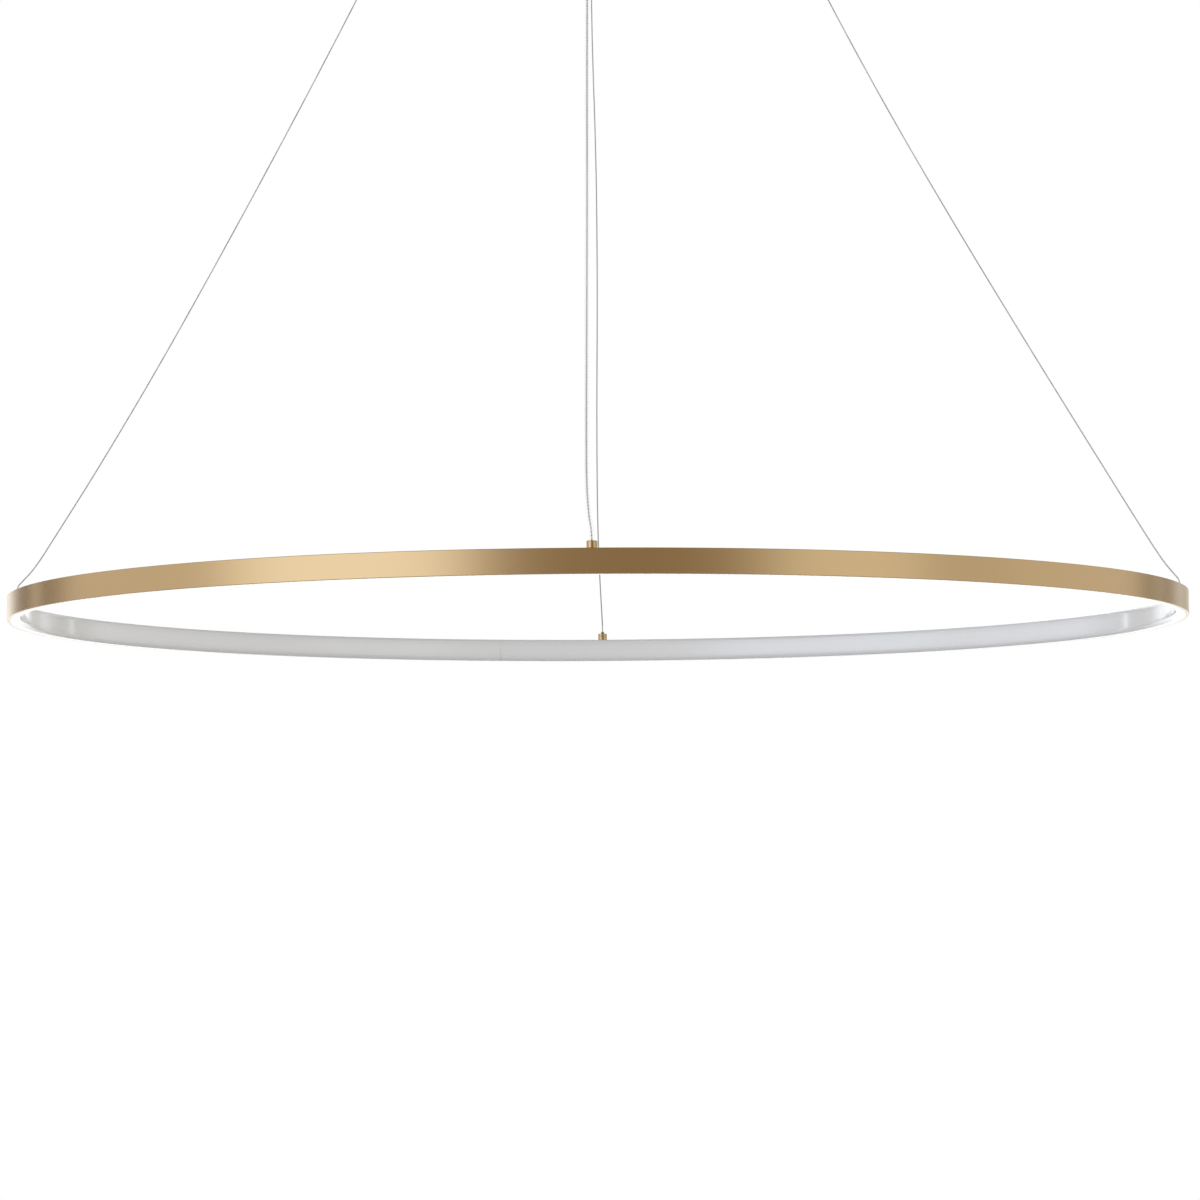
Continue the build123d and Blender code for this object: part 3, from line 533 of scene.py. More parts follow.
def merge_into(bm: bmesh.types.BMesh, shape: bmesh.types.BMesh) -> list[bmesh.types.BMVert]:
    """Add one bmesh to another, and free it.

    Args:
        bm: Bmesh that grows.
        shape: Bmesh that is added.

    Returns:
        The vertices that were added.
    """
    before = len(bm.verts)
    carrier = bpy.data.meshes.new("carrier")
    shape.to_mesh(carrier)
    shape.free()
    bm.from_mesh(carrier)
    bpy.data.meshes.remove(carrier)
    bm.verts.ensure_lookup_table()
    return bm.verts[before:]


def make_hexagon(verts: Iterable[bmesh.types.BMVert], radius: float) -> None:
    """Turn the round rings of a radius about the upright axis into hexagons of the same inner radius.

    Args:
        verts: Vertices of a turned shape.
        radius: Radius of the rings, in millimetres.
    """
    for vert in verts:
        reach = math.hypot(vert.co.x, vert.co.y)
        if abs(reach - radius * MM) < TOLERANCE:
            corner = math.atan2(vert.co.y, vert.co.x) % math.radians(60.0) - math.radians(30.0)
            vert.co.xy *= 1 / math.cos(corner)


def bore(bm: bmesh.types.BMesh, cutter: bmesh.types.BMesh) -> None:
    """Take a closed shape away from another.

    Args:
        bm: Shape that loses the cutter's room.
        cutter: Closed shape, which is freed.
    """
    carriers = []
    for name, shape in (("blank", bm), ("cutter", cutter)):
        mesh = bpy.data.meshes.new(name)
        shape.to_mesh(mesh)
        carriers.append(bpy.data.objects.new(name, mesh))
        bpy.context.scene.collection.objects.link(carriers[-1])
    cutter.free()
    blank, tool = carriers
    cut = blank.modifiers.new("bore", "BOOLEAN")
    cut.operation = "DIFFERENCE"
    cut.solver = "EXACT"
    cut.object = tool
    done = bpy.data.meshes.new_from_object(blank.evaluated_get(bpy.context.evaluated_depsgraph_get()))
    bm.clear()
    bm.from_mesh(done)
    bpy.data.meshes.remove(done)
    for carrier in carriers:
        mesh = carrier.data
        bpy.data.objects.remove(carrier)
        bpy.data.meshes.remove(mesh)


def smooth_line(points: Iterable[Vector], steps: int, spacing: float) -> list[Vector]:
    """Read points along the NURBS spline of a route.

    Args:
        points: The route's control points.
        steps: Points on each span of the spline.
        spacing: Least distance between two points that are kept.

    Returns:
        Points along the spline, from its first end to its last.
    """
    controls = list(points)
    curve = bpy.data.curves.new("route", "CURVE")
    curve.dimensions = "3D"
    spline = curve.splines.new("NURBS")
    spline.points.add(len(controls) - 1)
    for point, control in zip(spline.points, controls):
        point.co = (*control, 1.0)
    spline.order_u = 3
    spline.use_endpoint_u = True
    spline.resolution_u = steps
    carrier = bpy.data.objects.new("route", curve)
    mesh = bpy.data.meshes.new_from_object(carrier)
    line = [vertex.co.copy() for vertex in mesh.vertices]
    bpy.data.meshes.remove(mesh)
    bpy.data.objects.remove(carrier)
    bpy.data.curves.remove(curve)
    kept = [line[0]]
    for point in line[1:-1]:
        if (point - kept[-1]).length >= spacing and (point - line[-1]).length >= spacing / 2:
            kept.append(point)
    return kept + [line[-1]]


def add_tube(
    bm: bmesh.types.BMesh,
    line: Sequence[Vector],
    sides: int,
    section: Section,
) -> None:
    """Loft a tube along a line, with its section given at each angle and distance.

    Args:
        bm: Bmesh that gets the tube.
        line: Points that the tube follows.
        sides: Points round the section.
        section: Gives the two offsets from the line, in metres, at an angle and a distance along it.
    """
    heading = (line[1] - line[0]).normalized()
    across = heading.orthogonal().normalized()
    travelled = 0.0
    rings = []
    for index, point in enumerate(line):
        ahead = line[min(index + 1, len(line) - 1)] - line[max(index - 1, 0)]
        turned = heading.rotation_difference(ahead.normalized())
        heading = ahead.normalized()
        across = (turned @ across).normalized()
        beside = heading.cross(across)
        ring = []
        for side in range(sides):
            along, aside = section(math.tau * side / sides, travelled)
            ring.append(bm.verts.new(point + across * along + beside * aside))
        rings.append(ring)
        if index + 1 < len(line):
            travelled += (line[index + 1] - point).length
    for ring, following in zip(rings, rings[1:]):
        for side in range(sides):
            beyond = (side + 1) % sides
            bm.faces.new((ring[side], ring[beyond], following[beyond], following[side]))
    bm.faces.new(list(reversed(rings[0])))
    bm.faces.new(rings[-1])


def round_section(diameter: float) -> Section:
    """Give a round section of a diameter in millimetres."""
    reach = diameter * MM / 2
    return lambda angle, distance: (reach * math.cos(angle), reach * math.sin(angle))


@dataclass
class Band:
    """The hoop: gold outer profile, opal diffuser, the joint's screws and the strip inside."""

    segments: int = 720
    wall: float = 1.5
    edge_round: float = 0.5
    toe_depth: float = 1.1
    toe_height: float = 0.9
    groove_height: float = 2.3
    rib_depth: float = 0.9
    rib_height: float = 1.0
    flange_depth: float = 8.4
    diffuser_wall: float = 2.0
    low_round: float = 4.5
    high_round: float = 3.5
    bead_depth: float = 1.6
    fit: float = 0.1
    fine_round: float = 0.2
    outer_steps: int = 10
    inner_steps: int = 6
    joint_angle: float = 101.3
    profile_gap: float = 0.25
    diffuser_gap: float = 0.35
    closed_low: float = 0.25
    closed_high: float = 0.94
    closed_rise: float = 1.4
    screw_places: tuple[float, ...] = (-22.0, -8.0, 8.0, 22.0)
    screw_segments: int = 36
    screw_head: float = 2.45
    screw_rim: float = 0.1
    screw_sunk: float = 0.02
    screw_neck: float = 0.5
    screw_shank: float = 1.45
    screw_tip: float = 0.3
    screw_socket: float = 1.0
    socket_depth: float = 1.2
    screw_fit: float = 0.08
    sink_segments: int = 40

    def __post_init__(self) -> None:
        """Take the band's main sizes from the frame, in millimetres."""
        low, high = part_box("ring_profile")
        self.bottom = low.z / MM
        self.top = high.z / MM
        self.height = self.top - self.bottom
        self.radius = max(high.x, -low.x) / MM
        self.bead_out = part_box("ring_diffuser")[1].x / MM
        self.depth = self.flange_depth + self.fit + self.high_round
        self.centre = Vector((0.0, 0.0, self.bottom * MM))

    def build(self) -> None:
        """Build the band's pieces and dress the CAD nodes inside it."""
        self._profile()
        self._diffuser()
        dress("led_strip", SOLDER_MASK)
        dress("led_chips", PHOSPHOR)
        self._joint_screws()
        for node in ("joint_plate", "fitting_nuts"):
            dress(node, ZINC)

    def _gap_angle(self, gap: float) -> float:
        """Give the angle of a gap on the ring, in degrees."""
        return math.degrees(gap / self.radius)

    def _profile(self) -> None:
        """Spin the gold profile, open at its joint."""
        face = self.radius - self.wall
        rib_low = self.toe_height + self.groove_height
        flange_low = self.height - self.wall
        flange_end = self.radius - self.flange_depth
        fine = self.fine_round
        corners = [
            Corner(self.radius, 0.0, self.edge_round),
            Corner(face - self.toe_depth, 0.0, fine),
            Corner(face - self.toe_depth, self.toe_height, fine),
            Corner(face, self.toe_height),
            Corner(face, rib_low),
            Corner(face - self.rib_depth, rib_low),
            Corner(face - self.rib_depth, rib_low + self.rib_height),
            Corner(face, rib_low + self.rib_height),
            Corner(face, flange_low),
            Corner(flange_end, flange_low),
            Corner(flange_end, self.height, fine),
            Corner(self.radius, self.height, self.edge_round),
        ]
        gap = self._gap_angle(self.profile_gap)
        bm = bmesh.new()
        turn(bm, corners, self.centre, self.segments, self.joint_angle + gap / 2, 360.0 - gap)
        sinks = bmesh.new()
        for place in self._joint_places():
            bmesh.ops.create_cone(
                sinks, cap_ends=True, segments=self.sink_segments,
                radius1=(self.screw_head - self.wall) * MM,
                radius2=(self.screw_head + self.screw_fit) * MM, depth=(self.wall + self.screw_fit) * MM,
                matrix=Matrix.Translation(place - UP * (self.wall - self.screw_fit) / 2 * MM),
            )
        bore(bm, sinks)
        piece_from(bm, "gold_profile", SATIN_GOLD, "ring", "ring_profile")

    def _joint_places(self) -> list[Vector]:
        """Give the places of the joint's screws on the ring's top.

        Returns:
            The middle of each screw's head.
        """
        radius = self.radius - FITTING_INSET
        return [
            at_angle(radius * MM, self.joint_angle + math.degrees(along / radius), self.top * MM)
            for along in self.screw_places
        ]

    def _joint_screws(self) -> None:
        """Turn the countersunk screws that close the joint."""
        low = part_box("joint_screws")[0].z / MM - self.top
        face = -self.screw_sunk
        floor = -self.socket_depth
        bm = bmesh.new()
        for place in self._joint_places():
            verts = turn(bm, [
                Corner(0.0, low), Corner(self.screw_shank, low, self.screw_tip),
                Corner(self.screw_shank, self.screw_neck - self.wall),
                Corner(self.screw_head, face - self.screw_rim), Corner(self.screw_head, face),
                Corner(self.screw_socket, face), Corner(self.screw_socket, floor), Corner(0.0, floor),
            ], Vector(), self.screw_segments)
            make_hexagon(verts, self.screw_socket)
            bmesh.ops.translate(bm, vec=place, verts=verts)
        piece_from(bm, "zinc_joint_screws", ZINC, "ring", "joint_screws")

    def _diffuser(self) -> None:
        """Spin the opal diffuser, open at its joint."""
        face_in = self.radius - self.depth
        wall_in = face_in + self.diffuser_wall
        high_edge = face_in + self.high_round
        foot_out = self.radius - self.wall - self.toe_depth - self.fit
        bead_in = self.bead_out - self.bead_depth
        bead_low = self.toe_height + self.fit
        bead_high = self.toe_height + self.groove_height - self.fit
        inner_high = self.height - self.high_round
        fine = self.fine_round
        corners = [
            Corner(wall_in, self.diffuser_wall, self.low_round - self.diffuser_wall, self.inner_steps),
            Corner(bead_in, self.diffuser_wall),
            Corner(bead_in, bead_high),
            Corner(self.bead_out, bead_high),
            Corner(self.bead_out, bead_low),
            Corner(foot_out, bead_low),
            Corner(foot_out, 0.0, fine),
            Corner(face_in, 0.0, self.low_round, self.outer_steps),
            Corner(face_in, self.height, self.high_round - fine, self.outer_steps),
            Corner(high_edge, self.height, fine / 2),
            Corner(high_edge, inner_high),
            Corner(wall_in, inner_high),
        ]
        gap = self._gap_angle(self.diffuser_gap)
        bm = bmesh.new()
        turn(bm, corners, self.centre, self.segments, self.joint_angle + gap / 2, 360.0 - gap)
        self._close_joint(bm, gap)
        piece_from(bm, "opal_diffuser", OPAL, "ring", "ring_diffuser")

    def _close_joint(self, bm: bmesh.types.BMesh, gap: float) -> None:
        """Let the diffuser's ends meet above, so that the joint is open only towards the bottom.

        The share of the gap that closes grows with height, up to a limit.

        Args:
            bm: The diffuser.
            gap: Angle between its ends.
        """
        half = math.radians(gap / 2)
        for way in (-1, 1):
            end = math.radians(self.joint_angle) + way * half
            along = Vector((-math.sin(end), math.cos(end), 0.0))
            for vert in bm.verts:
                if abs(vert.co.dot(along)) >= TOLERANCE or vert.co.y <= 0:
                    continue
                rise = (vert.co.z - self.centre.z) / (self.height * MM)
                closed = min(self.closed_high, self.closed_low + self.closed_rise * rise)
                vert.co = Matrix.Rotation(-way * half * closed, 3, "Z") @ vert.co


@dataclass(frozen=True)
class GrubScrew:
    """A grub screw with a hexagon socket, set in a fitting's side that faces the lamp's axis."""

    radius: float = 1.5
    thread_fit: float = 0.05
    recess: float = 0.2
    socket_radius: float = 0.75
    socket_depth: float = 1.2
    edge: float = 0.25
    segments: int = 36
    hole_length: float = 9.0
    hole_segments: int = 32

    def _place(self, axis: Vector, angle: float, distance: float) -> Matrix:
        """Give the place on the screw's axis at a distance from the fitting's own axis.

        Args:
            axis: Point on the fitting's axis at the screw's level.
            angle: The fitting's angle on the lamp.
            distance: The distance, in millimetres.

        Returns:
            The place, with its Z along the screw.
        """
        place = Matrix.Translation(axis + at_angle(-distance * MM, angle))
        turned = Matrix.Rotation(math.radians(angle), 4, "Z")
        return place @ turned @ Matrix.Rotation(math.radians(-90.0), 4, "Y")

    def bore_hole(self, bm: bmesh.types.BMesh, axis: Vector, angle: float, start: float) -> None:
        """Bore the screw's hole through a fitting's wall.

        Args:
            bm: The fitting.
            axis: Point on the fitting's axis at the screw's level.
            angle: The fitting's angle on the lamp.
            start: Distance from the fitting's axis where the hole starts.
        """
        hole = bmesh.new()
        bmesh.ops.create_cone(
            hole, cap_ends=True, segments=self.hole_segments, radius1=self.radius * MM,
            radius2=self.radius * MM, depth=self.hole_length * MM,
            matrix=self._place(axis, angle, start + self.hole_length / 2),
        )
        bore(bm, hole)

    def add(self, bm: bmesh.types.BMesh, axis: Vector, angle: float, start: float, face: float) -> None:
        """Add the screw.

        Args:
            bm: Bmesh that gets the screw.
            axis: Point on the fitting's axis at the screw's level.
            angle: The fitting's angle on the lamp.
            start: Distance of its tip from the fitting's axis.
            face: Radius of the fitting.
        """
        length = face - self.recess - start
        thread = self.radius - self.thread_fit
        verts = turn(bm, [
            Corner(0.0, 0.0), Corner(thread, 0.0), Corner(thread, length, self.edge),
            Corner(self.socket_radius, length), Corner(self.socket_radius, length - self.socket_depth),
            Corner(0.0, length - self.socket_depth),
        ], Vector(), self.segments)
        make_hexagon(verts, self.socket_radius)
        bmesh.ops.transform(bm, matrix=self._place(axis, angle, start), verts=verts)


GRUB = GrubScrew()


@dataclass
class RingFittings:
    """Turned brass stops and gland on the ring's top, with their grub screws."""

    segments: int = 64
    stop_radius: float = 4.1
    stop_height: float = 5.8
    nipple_base: float = 1.7
    nipple_tip: float = 1.15
    nipple_height: float = 2.0
    bore_floor: float = 1.0
    gland_radius: float = 4.2
    gland_height: float = 5.6
    foot_round: float = 0.15
    edge_round: float = 0.5
    edge_steps: int = 4
    base_round: float = 0.2
    tip_round: float = 0.1
    mouth_round: float = 0.3
    grub_level: float = 3.0

    def build(self, band: Band) -> None:
        """Build the stops and the gland, each with its grub screw.

        Args:
            band: The hoop that carries them.
        """
        radius = (band.radius - FITTING_INSET) * MM
        level = band.top * MM
        grubs = bmesh.new()
        for side in Side:
            foot = at_angle(radius, side.value, level)
            self._fitting(f"wire_stop_{side.label}", self._stop_outline(), foot, side.value, grubs)
        foot = at_angle(radius, FEED_ANGLE, level)
        self._fitting("feed_gland", self._gland_outline(), foot, FEED_ANGLE, grubs)
        piece_from(grubs, "steel_grub_screws", BRIGHT_STEEL, "ring", "fitting_grub_screws")

    def _fitting(
        self, node: str, outline: list[Corner], foot: Vector, angle: float, grubs: bmesh.types.BMesh
    ) -> None:
        """Turn a fitting, and set its grub screw on the side of the ring's centre.

        Args:
            node: CAD node that it stands for.
            outline: Its outline over its foot, which starts on its outer face.
            foot: Its place on the ring's top.
            angle: Its angle on the ring.
            grubs: Bmesh that gets the screw.
        """
        axis = foot + UP * self.grub_level * MM
        bm = bmesh.new()
        turn(bm, outline, foot, self.segments)
        GRUB.bore_hole(bm, axis, angle, WIRE_BORE)
        GRUB.add(grubs, axis, angle, CORD_BORE, outline[0].radius)
        piece_from(bm, f"brass_{node}", TURNED_BRASS, "ring", node)

    def _stop_outline(self) -> list[Corner]:
        """Draw a wire stop, with the nipple that its wire leaves by.

        Returns:
            The outline, over the ring's top.
        """
        top = self.stop_height
        tip = top + self.nipple_height
        return [
            Corner(self.stop_radius, 0.0, self.foot_round),
            Corner(self.stop_radius, top, self.edge_round, self.edge_steps),
            Corner(self.nipple_base, top, self.base_round),
            Corner(self.nipple_tip, tip, self.tip_round),
            Corner(WIRE_BORE, tip),
            Corner(WIRE_BORE, self.bore_floor),
            Corner(0.0, self.bore_floor),
            Corner(0.0, 0.0),
        ]

    def _gland_outline(self) -> list[Corner]:
        """Draw the cord's gland.

        Returns:
            The outline, over the ring's top.
        """
        return [
            Corner(self.gland_radius, 0.0, self.foot_round),
            Corner(self.gland_radius, self.gland_height, self.edge_round, self.edge_steps),
            Corner(CORD_BORE, self.gland_height, self.mouth_round),
            Corner(CORD_BORE, self.bore_floor),
            Corner(0.0, self.bore_floor),
            Corner(0.0, 0.0),
        ]


@dataclass
class Suspension:
    """The hanging wires and the power cord, with their ends in the canopy."""

    wire_diameter: float = 1.2
    wire_sides: int = 24
    strands: int = 6
    strand_depth: float = 0.16
    lay_length: float = 9.0
    cord_diameter: float = 3.6
    cord_sides: int = 20
    core_diameter: float = 0.5
    core_sides: int = 8
    core_pitch: float = 6.0
    span_steps: int = 160
    tail_steps: int = 24
    spacing: float = 0.75
    held_height: float = 6.6
    held_gap: float = 0.3

    def build(self, band: Band) -> None:
        """Build the wires, the cord and their ends.

        Args:
            band: The hoop that hangs on them.
        """
        joint = joint_row("height_adjust")
        self.travel = max(joint["range_m"])
        self.anchors = {row["node"]: row["fixed_end_z_m"] for row in joint["deforming_nodes"]}
        for side in Side:
            self._wire(side, [
                at_angle(radius * MM, side.value, (band.top + height) * MM) + Vector((waver * MM, 0.0, 0.0))
                for (radius, height), waver in zip(WIRE_ROUTE, WIRE_WAVER[side])
            ], band.top + self.held_height)
        self._wire_tails()
        self._cord([
            Vector((lean * MM, -radius * MM, (band.top + height) * MM)) for radius, height, lean in CORD_ROUTE
        ])
        tail = [Vector(point) * MM for point in CORD_TAIL_ROUTE]
        line = smooth_line(tail, self.tail_steps, self.spacing * MM)
        self._sheathed_pair("cord_tail", line, "feed_cord_tail")

    def _shorten(self, piece: bpy.types.Object) -> None:
        """Give a piece a mesh of its own.

        Args:
            piece: The piece.
        """
        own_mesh(piece)

    def _rope_section(self, angle: float, distance: float) -> tuple[float, float]:
        """Give a point of the rope's lobed section, turned by its lay.

        Args:
            angle: Angle round the section.
            distance: Distance along the rope.

        Returns:
            Offsets from the rope's line.
        """
        lobe = abs(math.cos(self.strands * angle / 2))
        reach = self.wire_diameter * MM / 2 * (1 - self.strand_depth + self.strand_depth * lobe)
        twist = angle + math.tau * distance / (self.lay_length * MM)
        return reach * math.cos(twist), reach * math.sin(twist)

    def _rope(
        self, name: str, lines: Iterable[list[Vector]], body: str, *nodes: str
    ) -> bpy.types.Object:
        """Lay a rope along each line, as one piece.

        Args:
            name: Name of the piece.
            lines: Points that each rope follows.
            body: CAD body that it rides on.
            nodes: CAD nodes that it stands for.

        Returns:
            The new object.
        """
        bm = bmesh.new()
        for line in lines:
            add_tube(bm, line, self.wire_sides, self._rope_section)
        return piece_from(bm, name, ROPE_STEEL, body, *nodes)

    def _wire(self, side: Side, route: list[Vector], held: float) -> None:
        """Build one hanging wire, with the end that stays in the ring's stop as a piece of its own.

        Args:
            side: Side of the lamp.
            route: The wire's control points.
            held: Level up to which the stop holds it, in millimetres.
        """
        name = f"wire_{side.label}"
        whole = smooth_line(route, self.span_steps, self.spacing * MM)
        end = [point for point in whole if point.z < (held - self.held_gap) * MM]
        line = [point for point in whole if point.z >= held * MM]
        self._rope(f"rope_end_{side.label}", [end], "ring")
        piece = self._rope(f"rope_{name}", [line], "ceiling_set", name)
        self._shorten(piece)

    def _wire_tails(self) -> None:
        """Build the wires' ends above the grippers."""
        low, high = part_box("wire_tails")
        rise = high.z - low.z
        radius = high.x - self.wire_diameter * MM / 2
        count = round(rise / (self.spacing * MM))
        self._rope("rope_tails", [
            [at_angle(radius, side.value, low.z + rise * step / count) for step in range(count + 1)]
            for side in Side
        ], "ceiling_set", "wire_tails")

    def _core_section(self, start: float) -> Section:
        """Give the section of a core that winds round the cord's line.

        Args:
            start: Angle where the core starts.

        Returns:
            The section.
        """
        reach = self.core_diameter * MM / 2

        def section(angle: float, distance: float) -> tuple[float, float]:
            """Give a point of the core's section."""
            wound = start + math.tau * distance / (self.core_pitch * MM)
            return (
                reach * (math.cos(wound) + math.cos(angle)),
                reach * (math.sin(wound) + math.sin(angle)),
            )

        return section

    def _sheathed_pair(self, name: str, line: list[Vector], node: str) -> list[bpy.types.Object]:
        """Build a clear sheath over a twisted pair.

        Args:
            name: Start of the pieces' names.
            line: Points that the cord follows.
            node: CAD node that the sheath stands for.

        Returns:
            The sheath and its cores.
        """
        sheath = bmesh.new()
        add_tube(sheath, line, self.cord_sides, round_section(self.cord_diameter))
        cores = bmesh.new()
        for start in (0.0, math.pi):
            add_tube(cores, line, self.core_sides, self._core_section(start))
        return [
            piece_from(sheath, f"{name}_sheath", CLEAR_VINYL, "ceiling_set", node),
            piece_from(cores, f"{name}_cores", TINNED_CORE, "ceiling_set"),
        ]

    def _cord(self, route: list[Vector]) -> None:
        """Build the power cord.

        Args:
            route: Its control points.
        """
        line = smooth_line(route, self.span_steps, self.spacing * MM)
        sheath, cores = self._sheathed_pair("cord", line, "feed_cord")
        for piece in (sheath, cores):
            self._shorten(piece)


@dataclass
class Canopy:
    """The ceiling canopy: cup, bracket, grippers, gland and the wiring inside."""

    segments: int = 64
    cup_segments: int = 192
    small_segments: int = 24
    wall: float = 1.5
    cup_round: float = 3.0
    cup_steps: int = 8
    inner_steps: int = 5
    stud_radius: float = 1.45
    stud_height: float = 6.0
    stud_offset: float = 44.0
    outlet_radius: float = 60.0
    neck_radius: float = 4.0
    barrel_length: float = 14.0
    collar_height: float = 2.0
    plunger_radius: float = 2.5
    plunger_fit: float = 0.04
    flare_radius: float = 1.8
    flare_height: float = 3.0
    flare_round: float = 0.1
    edge: float = 0.4
    chamfer: float = 0.3
    fine_round: float = 0.2
    lip_round: float = 0.15
    screw_reach: float = 10.0
    screw_shank: float = 1.95
    head_round: float = 0.6
    head_knurls: int = 40
    knurl_depth: float = 0.25
    knurl_reach: float = 0.05
    lead_diameter: float = 2.0
    lead_sides: int = 14
    lead_steps: int = 16
    tag_radius: float = 4.5
    tag_hole: float = 2.1
    tag_thickness: float = 0.8
    tag_segments: int = 40
    spring_turns: int = 6
    spring_wire: float = 0.55
    spring_sides: int = 8
    thread_fit: float = 0.05
    neck_engagement: float = 3.0
    cone_top: float = 4.0
    cone_bottom: float = 10.5
    chamber: float = 2.9
    throat: float = 1.95
    shoulder_room: float = 3.5
    shoulder_radius: float = 3.35
    shoulder_height: float = 1.5
    rest_gap: float = 0.1
    tube_radius: float = 1.8
    seat_radius: float = 2.6
    seat_height: float = 1.0
    pocket_radius: float = 0.85
    ball_radius: float = 0.8
    ball_place: float = 1.42
    ball_angles: tuple[float, ...] = (0.0, 120.0, 240.0)
    ball_rings: int = 12
    ball_sides: int = 20

    def __post_init__(self) -> None:
        """Take the canopy's main sizes from the frame, in millimetres."""
        low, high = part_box("canopy_cup")
        self.radius = high.x / MM
        self.face = low.z / MM
        self.floor = self.face + self.wall
        low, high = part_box("gripper_barrel_rear")
        self.barrel_radius = (high.x - low.x) / MM / 2
        self.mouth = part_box("gripper_plunger_rear")[0].z / MM
        self.neck_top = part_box("gripper_necks")[1].z / MM

    def build(self) -> None:
        """Build the canopy's pieces and dress the CAD nodes that stay."""
        self._cup()
        self._side_screws()
        for side in Side:
            foot = at_angle(self.outlet_radius * MM, side.value)
            self._barrel(side, foot)
            self._plunger(side, foot)
            self._spring(side, foot)
        self._necks()
        self._collars()
        self._cord_gland()
        for node, routes in LEAD_ROUTES.items():
            self._leads(node, routes, self.lead_diameter)
        self._leads("strip_leads", STRIP_LEAD_ROUTES, STRIP_LEAD_DIAMETER, "ring")
        for node in (
            "ceiling_bracket", "outlet_nuts", "driver_nuts", "earth_screw", "block_screw", "terminal_screws"
        ):
            dress(node, ZINC)
        dress("led_driver", DRIVER_ABS)
        dress("terminal_block", POLYAMIDE)
        dress("output_connector", POLYAMIDE)

    def _cup(self) -> None:
        """Turn the cup, with the power supply's two studs on its floor."""
        inner = self.radius - self.wall
        bm = bmesh.new()
        turn(bm, [
            Corner(self.radius, 0.0, self.edge),
            Corner(self.radius, self.face, self.cup_round, self.cup_steps),
            Corner(0.0, self.face),
            Corner(0.0, self.floor),
            Corner(inner, self.floor, self.cup_round - self.wall, self.inner_steps),
            Corner(inner, 0.0, self.edge),
        ], Vector(), self.cup_segments)
        for way in (-1, 1):
            turn(bm, [
                Corner(0.0, 0.0), Corner(self.stud_radius, 0.0),
                Corner(self.stud_radius, self.stud_height, self.chamfer), Corner(0.0, self.stud_height),
            ], Vector((way * self.stud_offset * MM, 0.0, self.floor * MM)), self.small_segments)
        piece_from(bm, "gold_cup", SATIN_GOLD, "ceiling_set", "canopy_cup")

    def _side_screws(self) -> None:
        """Turn the two thumb screws, with straight knurls round their heads."""
        low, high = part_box("canopy_side_screws")
        head = (high.z - low.z) / MM / 2
        length = high.x / MM - self.radius
        level = (low.z + high.z) / 2
        bm = bmesh.new()
        for way in (-1, 1):
            verts = turn(bm, [
                Corner(0.0, -self.screw_reach), Corner(self.screw_shank, -self.screw_reach, self.chamfer),
                Corner(self.screw_shank, 0.0), Corner(head, 0.0, self.edge),
                Corner(head, length, self.head_round), Corner(0.0, length),
            ], Vector(), self.head_knurls * 2)
            self._knurl(verts, head)
            place = Matrix.Translation((way * self.radius * MM, 0.0, level))
            outwards = Matrix.Rotation(math.radians(way * 90.0), 4, "Y")
            bmesh.ops.transform(bm, matrix=place @ outwards, verts=verts)
        piece_from(bm, "brass_thumb_screws", TURNED_BRASS, "ceiling_set", "canopy_side_screws")

    def _knurl(self, verts: Iterable[bmesh.types.BMVert], radius: float) -> None:
        """Press every second line of a head's rim inwards.

        Args:
            verts: Vertices of the turned screw.
            radius: Radius of its head.
        """
        for vert in verts:
            reach = math.hypot(vert.co.x, vert.co.y)
            step = round(math.atan2(vert.co.y, vert.co.x) / math.tau * self.head_knurls * 2)
            if step % 2 and reach > (radius - self.knurl_reach) * MM:
                vert.co.xy *= 1 - self.knurl_depth * MM / reach

    def _barrel(self, side: Side, foot: Vector) -> None:
        """Turn a gripper's barrel, with the cone inside that wedges the balls.

        Args:
            side: Side of the lamp.
            foot: Place of its axis.
        """
        end = self.face - self.barrel_length
        socket = self.neck_radius + self.thread_fit
        socket_end = self.face - self.neck_engagement
        cone_top = self.face - self.cone_top
        cone_end = self.face - self.cone_bottom
        bm = bmesh.new()
        turn(bm, [
            Corner(socket, self.face), Corner(self.barrel_radius, self.face, self.fine_round),
            Corner(self.barrel_radius, end, self.lip_round), Corner(self.shoulder_room, end),
            Corner(self.shoulder_room, cone_end), Corner(self.throat, cone_end),
            Corner(self.chamber, cone_top), Corner(self.chamber, socket_end), Corner(socket, socket_end),
        ], foot, self.segments)
        piece_from(
            bm, f"brass_barrel_{side.label}", TURNED_BRASS, "ceiling_set", f"gripper_barrel_{side.label}"
        )

